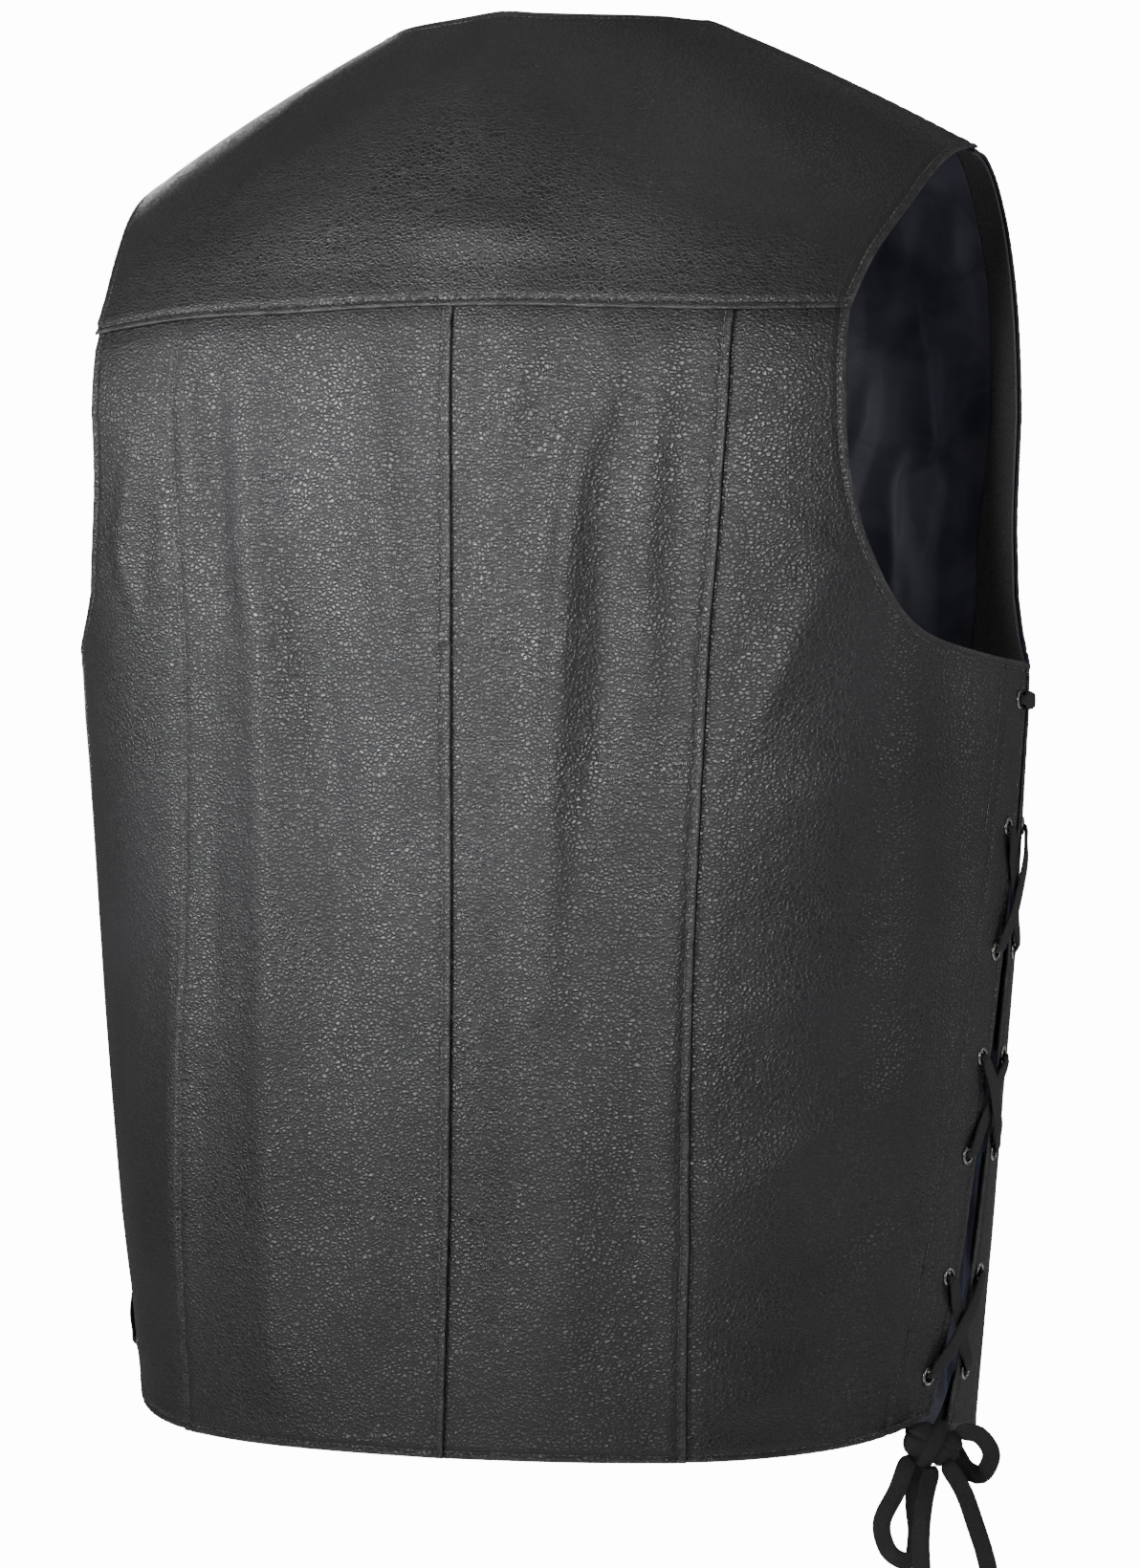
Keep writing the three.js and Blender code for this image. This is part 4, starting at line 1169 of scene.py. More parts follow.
@dataclass(frozen=True)
class Front:
    """Front of one side, with the facing and the lining inside it."""

    side: Side
    armpit_columns: int = 16
    facing_columns: int = 12
    middle_columns: int = 40
    edge_columns: int = 14
    low_rows: int = 96
    facing_rows: int = 8
    high_rows: int = 94
    facing_share: float = 0.2
    margin_share: float = 0.8

    def outline(self) -> dict[str, Edge]:
        """The front's edges on the wearer's left, by name.

        Returns:
            Hem, closing, shoulder, hollow of the armpit, laced edge, the line across
            from the armpit to the closing, rim of the armhole and neck.
        """
        foot = float(FORM.angle_at_x(np.array(-OVERLAP), np.array(-624.0), True))
        hem = Edge([*HEM_FRONT, (foot, -624)])
        heights = np.linspace(-624, V_BOTTOM, 40)
        angles = FORM.angle_at_x(np.full(40, -OVERLAP), heights, True)
        closing = Edge(np.stack([angles, heights], axis=1), straight=True)
        x = np.linspace(FORM.tip_half, FORM.neck_half, 60)
        angle = FORM.angle_at_x(x, np.full(60, SHOULDER_SEAM), True)
        shoulder = Edge(np.stack([angle, np.full(60, SHOULDER_SEAM + UNDER)], axis=1), straight=True)
        return {
            "hem": hem, "closing": closing, "shoulder": shoulder,
            "hollow": Edge(ARMPIT_FRONT), "laced": Edge(SIDE_FRONT[::-1]),
            "across": Edge([ARMPIT_FRONT[-1], (150, -246), tuple(closing.points[-1])]),
            "rim": Edge([*ARMHOLE_FRONT, tuple(shoulder.points[0])]),
            "neck": Edge(ordered(closing.points[-1], V_NECK[::-1], shoulder.points[-1])),
        }

    def knots(self, shared: float) -> tuple[Knot, ...]:
        """Grid lines of the lower part, from the laced edge to the closing.

        Args:
            shared: Share of the row where the armhole's rim starts.

        Returns:
            The knots.
        """
        along = [shared + share * (1 - shared) for share in (self.facing_share, self.margin_share)]
        return (
            Knot(0, steps=4, fine_after=True), Knot(0, 18, steps=3),
            Knot(0, BAND, steps=self.armpit_columns),
            Knot(shared, steps=self.facing_columns, fine_after=True),
            Knot(along[0], steps=self.middle_columns), Knot(along[1], steps=self.edge_columns),
            Knot(1, fine_before=True),
        )

    def grid(self, edges: dict[str, Edge]) -> tuple[Array, dict[str, int]]:
        """Grid of the whole front.

        Args:
            edges: The front's edges by name.

        Returns:
            The grid, and the numbers of its named lines.
        """
        shared = edges["hollow"].length / (edges["hollow"].length + edges["across"].length)
        rows = (
            Knot(0, steps=self.low_rows, fine_after=True), Knot(10 / 11, steps=self.facing_rows),
            Knot(1, fine_before=True),
        )
        top = edges["hollow"].joined(edges["across"])
        lower = fill_patch(edges["hem"], top, edges["laced"], edges["closing"], self.knots(shared), rows)
        columns = (
            Knot(0, steps=self.facing_columns, fine_after=True),
            Knot(self.facing_share, steps=self.middle_columns),
            Knot(self.margin_share, steps=self.edge_columns), Knot(1, fine_before=True),
        )
        sides = [edges[name] for name in ("across", "shoulder", "rim", "neck")]
        upper = fill_patch(*sides, columns, evenly(self.high_rows, False))
        extra = len(FINE) - 1
        lines = {"start": extra + 4}
        lines["band"] = lines["start"] + 3
        lines["first"] = lines["band"] + self.armpit_columns
        lines["facing"] = lines["first"] + extra + self.facing_columns
        lines["margin"] = lines["facing"] + self.middle_columns
        lines["facing_row"] = extra + self.low_rows
        lines["shared_row"] = len(lower) - 1
        return stacked(lower, upper, lines["first"]), lines

    def panels(self, holes: list[Array]) -> tuple[Panel, Panel, "Lining"]:
        """Works out the front's leather, the facing and the lining.

        Args:
            holes: Places of its lace holes.

        Returns:
            The three pieces, from outside in.
        """
        edges = self.outline()
        grid, lines = self.grid(edges)
        here = {name: on_side(line, self.side) for name, line in edges.items()}
        armhole = here["rim"].reversed().joined(here["hollow"].reversed())
        borders = [
            Border(here["hem"], stitches=(3.2,)), Border(here["closing"]), Border(here["neck"]),
            Border(here["shoulder"], stitches=(), under=True), Border(armhole),
            Border(here["laced"], stitches=(3.6, BAND)),
        ]
        leather = Panel(
            f"front_{self.side.word}", placed(grid, self.side), borders, overlap=self.side is Side.LEFT,
            holes=holes,
        )
        row, column = np.indices(grid.shape[:2])
        near = column <= lines["facing"]
        below = (row >= lines["facing_row"]) & (column >= lines["start"])
        strip = near & ((row > lines["shared_row"]) | below)
        facing = Panel(
            f"armhole_facing_{self.side.word}", placed(np.where(strip[..., None], grid, np.nan), self.side),
            [Border(armhole, stitches=())], thick=1.2, base=-1.95, round=0.5,
        )
        inner = (column <= lines["margin"]) & (
            (column >= lines["facing"]) | ((column >= lines["band"]) & (row <= lines["facing_row"]))
        )
        inner &= (row >= 3) & (row <= len(grid) - 4)
        cloth = np.where(inner[..., None], grid, np.nan)
        edge = inner & (column == lines["facing"]) & (row > lines["facing_row"])
        cloth[edge] = 0.8 * grid[edge] + 0.2 * np.roll(grid, -1, axis=1)[edge]
        under = inner & (row == lines["facing_row"]) & (column <= lines["facing"])
        cloth[under] = 0.8 * grid[under] + 0.2 * np.roll(grid, 1, axis=0)[under]
        return leather, facing, Lining(f"lining_front_{self.side.word}", placed(cloth, self.side), self.side)


@dataclass
class Lining:
    """Satin lining of a front: it hangs loose inside, sewn along its edges."""

    name: str
    grid: Array
    side: Side
    thick: float = 0.8
    slack: float = 4.2
    # Depth of the sewn edges under the leather's outer face
    inset: float = 2.15
    # Soft folds by angle and height on the wearer's left, half width and depth
    folds: tuple[Fold, ...] = (
        Fold(((134, 10), (136, -60), (133, -130), (128, -190)), 7, 5.0),
        Fold(((140, -20), (146, -80), (144, -150), (137, -220)), 9, -4.0),
        Fold(((127, -60), (133, -110), (141, -140)), 6, 4.0),
        Fold(((128, -120), (137, -165), (148, -180)), 7, 4.6),
        Fold(((125, -170), (132, -205), (141, -214)), 6, 3.6),
        Fold(((150, -120), (153, -200), (149, -300)), 10, 4.0),
        Fold(((130, -240), (136, -300), (133, -400), (138, -520)), 11, 4.6),
        Fold(((146, -280), (150, -400), (146, -540)), 12, -3.6),
        Fold(((118, -300), (120, -420), (116, -560)), 10, 3.4),
    )

    def depth(self, angle: Array, height: Array, free: Array) -> Array:
        """How far the lining hangs inside: folds and slow waves, none at its sewn edges.

        Args:
            angle: Angles of the places.
            height: Their heights.
            free: Their distances to the nearest edge of the lining.

        Returns:
            Depths under the leather's inner face.
        """
        turned = np.abs((angle + 180.0) % 360.0 - 180.0)
        turned = np.where(turned < 60, 360 - turned, turned)
        form = BodyForm(folds=self.folds, creases=())
        soft = form.fold_height(turned, height, np.full_like(turned, DEGREE))
        warp = height * 0.052 + 1.3 * np.sin(turned * 0.23 + height * 0.021)
        wave = np.sin(turned * 0.62 + warp * 0.35) * np.sin(turned * 0.21 - warp)
        ripple = np.sin(turned * 1.35 + 2.2 * np.sin(height * 0.043)) * np.sin(height * 0.061 + turned * 0.3)
        return smooth(free / 26) * (self.slack + soft + 1.5 * wave + 0.5 * ripple)

    def build(self, satin: bpy.types.Material) -> bpy.types.Object:
        """Makes the lining's wall and puts it in place of its node.

        Args:
            satin: Material of both faces.

        Returns:
            The piece.
        """
        valid = ~np.isnan(self.grid[..., 0])
        quads = grid_faces(valid)
        places = self.grid[valid]
        points = FORM.point(*places.T)
        sewn = points[np.unique(loose_edges(quads))]
        free = np.concatenate([
            np.sqrt(((part[:, None] - sewn[None]) ** 2).sum(2)).min(1) for part in np.array_split(points, 24)
        ])
        lap = front_lap(points) if self.side is Side.LEFT else 0.0
        lift = lap - self.inset - self.depth(*places.T, free)
        used = np.unique(quads)
        number = np.zeros(len(places), int)
        number[used] = np.arange(len(used))
        places, lift = places[used], lift[used]
        outer, inner = FORM.cloth(*places.T, lift), FORM.cloth(*places.T, lift - self.thick)
        return wall_object(self.name, places, outer, inner, number[quads], [satin])


# Side lacing


def eyelet_places(edge_points: tuple, side: Side, inward: int) -> Array:
    """Places of the eyelets along a laced edge, from the top row down.

    Args:
        edge_points: Points of the edge on the wearer's left.
        side: Side of the wearer.
        inward: Sign of the angle toward the panel.

    Returns:
        Angle and height of each eyelet.
    """
    line = Edge(edge_points[::-1])
    fine = line.at(np.linspace(0, 1, 2001))
    height = np.array(ROWS, float)
    angle = np.interp(height, fine[:, 1], fine[:, 0])
    around = FORM.directions(angle, height)[0]
    angle = angle + inward * EYELET_INSET / np.linalg.norm(around, axis=1)
    return np.stack([side.value * angle, height], axis=1)


def turned_profile(places: Array, profile: Array, sides: int, lift: Array) -> tuple[Array, Array]:
    """Closed profiles carried in a circle about the cloth's outward direction.

    Args:
        places: Angle and height of each piece.
        profile: Radius and height of each point of the closed profile.
        sides: Steps round the circle.
        lift: Height of each piece over the cloth.

    Returns:
        Points and quads of all the pieces.
    """
    out = FORM.outward(*places.T)
    ring = circle_about(out, sides)
    points = (
        FORM.cloth(*places.T, lift)[:, None, None] + ring[:, :, None] * profile[None, None, :, :1]
        + out[:, None, None] * profile[None, None, :, 1:]
    )
    base = np.arange(len(places))[:, None, None] * sides * len(profile)
    return points.reshape(-1, 3), (base + joined_rings(sides, len(profile), True)).reshape(-1, 4)


def smooth_path(points: Array, per_segment: int = 24) -> tuple[Array, Array]:
    """A smooth line through points, whose pace goes with the root of the distance.

    Args:
        points: Points to pass through.
        per_segment: Steps between two points.

    Returns:
        Points of the line, and the place of each among the given ones.
    """
    p = np.vstack([2 * points[:1] - points[1:2], points, 2 * points[-1:] - points[-2:-1]])
    pace = np.maximum(np.linalg.norm(np.diff(p, axis=0), axis=1) ** 0.5, 1e-3)[:, None]
    a, b = p[1:-2], p[2:-1]
    d0, d1, d2 = pace[:-2], pace[1:-1], pace[2:]
    slope_a = ((a - p[:-3]) / d0 - (b - p[:-3]) / (d0 + d1) + (b - a) / d1) * d1
    slope_b = ((b - a) / d1 - (p[3:] - a) / (d1 + d2) + (p[3:] - b) / d2) * d1
    line = cubic(a, b, slope_a, slope_b, per_segment)
    return line, np.linspace(0, len(points) - 1, len(line))


@dataclass
class Ribbon:
    """A flat cord through sections of a point, a width direction, a width and a thickness."""

    points: Array
    across: Array
    width: Array
    thick: Array
    step: float = 2.0

    def sampled(self) -> tuple[Array, Array, Array, Array]:
        """Even steps along the smooth line, with the sections' values between them.

        Returns:
            Points, width directions, widths and thicknesses.
        """
        line, place = smooth_path(self.points)
        run = walked(line)
        marks = np.linspace(0, run[-1], max(8, int(run[-1] / self.step)))
        at = np.interp(marks, run, place)
        number = np.arange(len(self.points))
        across = self.across.copy()
        for i in range(1, len(across)):
            if across[i] @ across[i - 1] < 0:
                across[i] *= -1
        width, thick = np.interp(at, number, self.width), np.interp(at, number, self.thick)
        return between(marks, run, line), between(at, number, across), width, thick

    def build(self, name: str, finish: bpy.types.Material) -> tuple[bpy.types.Object, Array]:
        """Carries a rounded flat section along the line and closes its ends.

        Args:
            name: Name of the piece.
            finish: Its material.

        Returns:
            The piece, and the points of its path in metres.
        """
        path, across, width, thick = self.sampled()
        tangent = unit(np.gradient(path, axis=0))
        across = unit(across - tangent * (across * tangent).sum(1)[:, None])
        through = np.cross(tangent, across)
        quarter = np.array([[0.5, 0.0], [0.48, 0.27], [0.42, 0.45], [0.15, 0.5]])
        half = np.concatenate([quarter, (quarter * [-1, 1])[:0:-1]])
        shape = np.concatenate([half, -half])
        ring = (
            path[:, None] + across[:, None] * (shape[None, :, :1] * width[:, None, None])
            + through[:, None] * (shape[None, :, 1:] * thick[:, None, None])
        )
        n = len(shape)
        quads = joined_rings(len(path), n)
        caps = np.stack([np.arange(n)[::-1], np.arange(n) + (len(path) - 1) * n])
        uv = np.stack([np.repeat(walked(path), n), np.tile(shape[:, 0] * LACE_WIDTH, len(path))], axis=1) * MM
        piece = make_object(name, ring.reshape(-1, 3), [quads, caps], [finish], uv=uv)
        return piece, path * MM


def declare_cord(
    node: str
) -> None:
    """Hides the node of a ribbon, whose piece stands in its place.

    Args:
        node: Name of the node.
    """
    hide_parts(node)


@dataclass
class Lacing:
    """Side lacing: eyelets along both edges and the flat lace through them."""

    side: Side
    # Eyelets that the lace passes through, by column and row from the top
    stops: tuple[str, ...] = (
        "front 7", "back 6", "back 5", "front 4", "front 3", "back 2", "back 1",
        "front 1", "front 2", "back 3", "back 4", "front 5", "front 6", "back 7",
    )
    width: float = LACE_WIDTH
    thick: float = LACE_THICK
    inside: float = -3.65
    outside: float = 1.55
    # Ends below the last eyelets: angle, height and lift, then the knot's direction
    ends: dict[str, tuple] = field(default_factory=lambda: {
        "front": (((82.5, -603, -4.2), (77.5, -619, -4.4)), (5, 7, -4)),
        "back": (((72.4, -597, -4.2), (71.6, -611, -3.8)), (-4, 3, -5)),
    })
    # The eyelet's closed profile: radius and height over the leather
    rim: tuple[tuple[float, float], ...] = (
        (2.55, -2.3), (2.6, 0.25), (2.85, 0.72), (3.3, 0.98), (3.85, 0.86), (4.25, 0.45), (4.32, 0.02),
        (3.4, -0.12), (3.05, -0.3), (3.05, -1.7), (4.3, -1.72), (4.3, -2.1), (3.3, -2.4),
    )
    # The lace out through an eyelet: distance from its middle, height, width and thickness
    THROUGH = ((5.2, -3.65, 7.2, 1.5), (0.8, -3.2, 3.8, 1.9), (0.0, -0.8, 3.2, 2.3), (0.8, 1.9, 3.8, 1.9),
               (5.2, 2.3, 7.2, 1.5))

    def places(self) -> dict[str, Array]:
        """Places of the eyelets by column."""
        return {
            "back": eyelet_places(SIDE_BACK, self.side, -1), "front": eyelet_places(SIDE_FRONT, self.side, 1),
        }

    def eyelets(self, metal: bpy.types.Material) -> bpy.types.Object:
        """Makes all the eyelets of the side as one piece.

        Args:
            metal: Their material.

        Returns:
            The piece.
        """
        columns = self.places()
        places = np.concatenate([columns["back"], columns["front"]])
        points, quads = turned_profile(places, np.array(self.rim), 28, np.zeros(len(places)))
        piece = make_object(f"eyelets_{self.side.word}", points, [quads], [metal])
        names = [f"eyelet_{self.side.word}_{column}_{i}" for column in ("back", "front") for i in range(1, 8)]
        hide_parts(*names)
        return piece

    @staticmethod
    def heading(place: Array, goal: Array) -> Array:
        """Direction on the cloth from one place toward another."""
        around, up, out = FORM.directions(place[0], place[1])
        way = around * (goal[0] - place[0]) + up * (goal[1] - place[1])
        return unit(way - out * (way @ out))

    def eyelet_pass(self, place: Array, before: Array, after: Array, outward: bool) -> list[tuple]:
        """Sections through one eyelet: flat, gathered, through the hole, and flat again.

        Args:
            place: Place of the eyelet.
            before: Direction to the stop before.
            after: Direction to the next stop.
            outward: Whether the lace comes out here.

        Returns:
            Point, width direction, width and thickness of each section.
        """
        out = FORM.outward(*place)
        middle = FORM.cloth(*place, np.array(0.0))
        ways = (before, before, after, after, after)
        sections = []
        for i, (reach, lift, width, thick) in enumerate(self.THROUGH if outward else self.THROUGH[::-1]):
            across = np.cross(out, ways[i])
            if i == 2:
                across = across + 0.5 * np.cross(out, before)
            sections.append((middle + ways[i] * reach + out * lift, unit(across), width, thick))
        return sections

    def end_sections(self, column: str, knot: "Bow | None") -> list[tuple]:
        """Sections from the last eyelet down, to the knot where there is one.

        Args:
            column: Column of the last eyelet.
            knot: The bow, if there is one.

        Returns:
            The sections.
        """
        places, toward = self.ends[column]
        sections = []
        for angle, height, lift in places if knot else places[:1]:
            at = (np.array(self.side.value * angle), np.array(float(height)))
            point = FORM.cloth(*at, np.array(lift), fine=False)
            sections.append((point, unit(FORM.directions(*at)[0]), self.width, self.thick))
        if knot:
            point, normal = knot.surface(toward)
            sections.append((point - normal * 0.8, knot.across, knot.narrow, self.thick))
        return sections

    def run(self, start: Array, end: Array, lift: float, steps: int) -> list[tuple]:
        """Sections over the cloth between two eyelets.

        Args:
            start: Place of the first.
            end: Place of the second.
            lift: Height over the cloth.
            steps: Number of sections.

        Returns:
            The sections.
        """
        sections = []
        for i in range(steps):
            place = start + (end - start) * (i + 1) / (steps + 1)
            across = np.cross(FORM.outward(*place), self.heading(place, end))
            sections.append((FORM.cloth(*place, np.array(lift)), across, self.width, self.thick))
        return sections

    def lace(self, leather: bpy.types.Material, knot: "Bow | None") -> bpy.types.Object:
        """Makes the lace from its front end, through the eyelets and back down.

        Args:
            leather: Material of the lace.
            knot: The bow that its ends run to, if there is one.

        Returns:
            The piece.
        """
        columns = self.places()
        places = [columns[s.split()[0]][int(s.split()[1]) - 1] for s in self.stops]
        low = [np.array(self.ends[c][0][0][:2]) * [self.side.value, 1] for c in ("front", "back")]
        route = [low[0], *places, low[1]]
        sections = self.end_sections("front", knot)[::-1]
        for i, place in enumerate(places):
            outward = i % 2 == 0
            if i:
                over = self.outside + (self.thick + 0.6 if i > len(ROWS) else 0)
                sections += self.run(route[i], place, self.inside if outward else over, 1 if outward else 3)
            sections += self.eyelet_pass(
                place, self.heading(place, route[i]), self.heading(place, route[i + 2]), outward
            )
        sections += self.end_sections("back", knot)
        ribbon = Ribbon(*(np.array([s[k] for s in sections], float) for k in range(4)))
        piece, path = ribbon.build(f"lace_{self.side.word}_looks", leather)
        declare_cord(f"lace_{self.side.word}")
        return piece


@dataclass
class Bow:
    """Bow below the lacing: a knot, two loops and two tails of the same lace."""

    side: Side = Side.RIGHT
    angle: float = 71.0
    height: float = -613.0
    out: float = 10.0
    size: tuple[float, float, float] = (24.0, 11.0, 20.0)
    width: float = LACE_WIDTH
    thick: float = LACE_THICK
    # Width where a ribbon goes into the knot
    narrow: float = 5.0
    gap: float = 0.1
    # Points across toward the front, down and toward the viewer, from the knot
    stretches: dict[str, tuple] = field(default_factory=lambda: {
        "loop_back": ((-9, 6, 1), (-16, 20, 4), (-23, 35, 5), (-19, 48, 3), (-10, 52, -2), (-7, 41, -5),
                      (-8, 26, -6), (-6, 8, -4)),
        "loop_front": ((11, -4, 1), (20, -4.5, 3), (25.8, 4, 3), (21.5, 13.6, 0), (15, 11.4, -4),
                       (9, 3, -3.5)),
        "tail_back": ((-1, 10, 1.5), (-4, 23, 7), (-6, 40, 10), (-5, 62, 10), (-3, 84, 9), (-3, 104, 8)),
        "tail_front": ((6, 8, 2.5), (13, 20, 7), (18, 34, 9), (23, 50, 9), (27, 74, 8), (28, 102, 7)),
    })

    def __post_init__(self) -> None:
        """Works out the knot's place and its three directions."""
        sign = self.side.value
        at = (np.array(sign * self.angle), np.array(self.height))
        self.middle = FORM.point(*at) + FORM.outward(*at) * self.out
        self.across = unit(np.array([sign * 0.927, -0.375, 0.0]))
        self.toward = unit(np.array([sign * 0.375, 0.927, 0.0]))
        self.down = np.array([0.0, 0.0, -1.0])

    def place(self, point: Array) -> Array:
        """Point at mm across, down and toward the viewer from the knot's middle."""
        return self.middle + point[0] * self.across + point[1] * self.down + point[2] * self.toward

    def surface(self, direction: tuple) -> tuple[Array, Array]:
        """Place just over the knot in a direction.

        Args:
            direction: Direction across, down and toward the viewer.

        Returns:
            The place, and the knot's outward direction there.
        """
        half = np.array([self.size[0], self.size[2], self.size[1]]) / 2
        way = np.array(direction, float)
        on = way / np.linalg.norm(way / half)
        slope = unit(on / half**2)
        point = self.place(on + slope * self.gap)
        return point, self.place(on + slope) - self.place(on)

    def knot(self, leather: bpy.types.Material) -> bpy.types.Object:
        """Makes the knot: an ellipsoid with the grooves between its wraps pressed in.

        Args:
            leather: Its material.

        Returns:
            The piece.
        """
        sides, rings = 72, 40
        turn, fall = np.meshgrid(circle(sides), np.linspace(0.04, math.pi - 0.04, rings))
        x, y, z = np.cos(turn) * np.sin(fall), np.cos(fall), np.sin(turn) * np.sin(fall)
        band = 0.85 * x + 0.35 * y
        groove = np.exp(-(((band - 0.36) / 0.075) ** 2)) + np.exp(-(((band + 0.34) / 0.075) ** 2))
        lines = np.exp(-(((0.4 * x - 0.9 * y - 0.1) / 0.07) ** 2)) * (np.abs(band) > 0.36)
        swell = 1.06 + 0.05 * np.cos(band * 7) - 0.17 * groove - 0.12 * lines
        half = np.array([self.size[0], self.size[2], self.size[1]]) / 2
        axes = np.stack([self.across, self.down, self.toward])
        points = (self.middle + np.stack([x, y, z], axis=-1) * half * swell[..., None] @ axes).reshape(-1, 3)
        quads = joined_rings(rings, sides)[:, [0, 3, 2, 1]]
        caps = np.stack([np.arange(sides), (np.arange(sides) + (rings - 1) * sides)[::-1]])
        if np.linalg.det(axes) > 0:
            quads, caps = quads[:, ::-1], caps[:, ::-1]
        piece = make_object("knot_looks", points, [quads, caps], [leather], uv=points[:, :2] * MM)
        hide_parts(f"knot_{self.side.word}")
        return piece

    def stretch(self, name: str, leather: bpy.types.Material) -> bpy.types.Object:
        """Args:
            name: Name of the stretch.
            leather: Material of the lace.

        Returns:
            The piece.
        """
        points = self.stretches[name]
        closing = name.startswith("loop")
        start, normal = self.surface(points[0])
        route = [start, start + normal * 3]
        route += [self.place(np.array(p, float)) for p in points[1 : len(points) - closing]]
        if closing:
            end, last = self.surface(points[-1])
            route += [end + last * 3, end]
        line = np.array(route)
        tangent = unit(np.gradient(line, axis=0))
        level = unit(np.cross(self.toward, tangent))
        across = unit(level * 0.95 + self.toward * 0.30)
        width = np.full(len(line), self.width)
        width[0] = self.narrow
        if closing:
            width[-1] = self.narrow
        ribbon = Ribbon(line, across, width, np.full(len(line), self.thick))
        piece, path = ribbon.build(f"{name}_{self.side.word}_looks", leather)
        declare_cord(f"{name}_{self.side.word}")
        return piece


@dataclass(frozen=True)
class Snaps:
    """Snap caps down the front, closed."""

    heights: tuple[float, ...] = (-292, -376, -460, -544)
    profile: tuple[tuple[float, float], ...] = (
        (0.02, 2.6), (1.6, 2.55), (3.2, 2.3), (4.6, 1.75), (5.4, 1.05), (5.6, 0.75), (6.0, 0.85), (6.3, 0.55),
        (6.2, 0.12), (0.02, 0.1),
    )

    def build(self, metal: bpy.types.Material) -> bpy.types.Object:
        """Makes the caps as one piece, seated on the lapped front.

        Args:
            metal: Their material.

        Returns:
            The piece.
        """
        places = np.array([[180.0, h] for h in self.heights])
        lift = np.full(len(places), FRONT_LAP)
        points, quads = turned_profile(places, np.array(self.profile)[::-1], 32, lift)
        piece = make_object("snap_caps", points, [quads], [metal])
        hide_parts(*[f"snap_{i + 1}" for i in range(len(self.heights))])
        return piece


# Finishes


class Tree:
    """A material's node tree with short ways to add and join nodes."""

    def __init__(self, name: str) -> None:
        """Starts an empty material with an output and a shader.

        Args:
            name: Name of the material.
        """
        self.material = bpy.data.materials.new(name)
        self.material.use_nodes = True
        self.nodes = self.material.node_tree.nodes
        self.nodes.clear()
        self.shader = self.nodes.new("ShaderNodeBsdfPrincipled")
        self.join(self.shader.outputs[0], self.nodes.new("ShaderNodeOutputMaterial").inputs[0])

    def join(self, source: bpy.types.NodeSocket, target: bpy.types.NodeSocket) -> None:
        """Links an output to an input."""
        self.material.node_tree.links.new(source, target)

    def fill(self, node: bpy.types.Node, inputs: dict) -> bpy.types.Node:
        """Sets or links inputs of a node.

        Args:
            node: The node.
            inputs: Values or outputs for its inputs, by name or number.

        Returns:
            The node.
        """
        for key, value in inputs.items():
            if isinstance(value, bpy.types.NodeSocket):
                self.join(value, node.inputs[key])
            else:
                node.inputs[key].default_value = value
        return node

    def shaded(self, inputs: dict) -> bpy.types.Material:
        """The finished material, its shader's inputs set or linked."""
        self.fill(self.shader, inputs)
        return self.material

    def add(self, kind: str, inputs: dict | None = None, **settings: object) -> bpy.types.Node:
        """Adds a node.

        Args:
            kind: Type of the node, without its prefix.
            inputs: Values or outputs for its inputs, by name or number.
            settings: Its properties.

        Returns:
            The node.
        """
        node = self.nodes.new("ShaderNode" + kind)
        for key, value in settings.items():
            setattr(node, key, value)
        return self.fill(node, inputs or {})

    def place(self) -> bpy.types.NodeSocket:
        """Place on the object."""
        return self.add("TexCoord").outputs["Object"]

    def noise(self, place: object, scale: float, detail: float, **more: float) -> bpy.types.NodeSocket:
        """Height of a noise at a place."""
        return self.add("TexNoise", {"Vector": place, "Scale": scale, "Detail": detail, **more}).outputs[0]

    def math(self, operation: str, a: object, b: object = 0.0, c: object = 0.0) -> bpy.types.NodeSocket:
        """Result of a sum on numbers or outputs."""
        return self.add("Math", {0: a, 1: b, 2: c}, operation=operation).outputs[0]

    def ranged(
        self, value: object, low: float, high: float, to_low: float = 0.0, to_high: float = 1.0
    ) -> bpy.types.NodeSocket:
        """A value carried from one range to another, clamped."""
        return self.add("MapRange", {0: value, 1: low, 2: high, 3: to_low, 4: to_high}).outputs[0]

    def mixed(self, share: object, a: object, b: object) -> bpy.types.NodeSocket:
        """Colour between two colours, each an output or three numbers."""
        a, b = (v if isinstance(v, bpy.types.NodeSocket) else (*v, 1.0) for v in (a, b))
        return self.add("Mix", {0: share, 6: a, 7: b}, data_type="RGBA").outputs[2]

    def bump(
        self, height: object, strength: float, distance: float, below: object = None
    ) -> bpy.types.NodeSocket:
        """Surface relief of a height, on top of another relief where one is given."""
        inputs = {"Height": height, "Strength": strength, "Distance": distance}
        return self.add("Bump", inputs if below is None else inputs | {"Normal": below}).outputs[0]


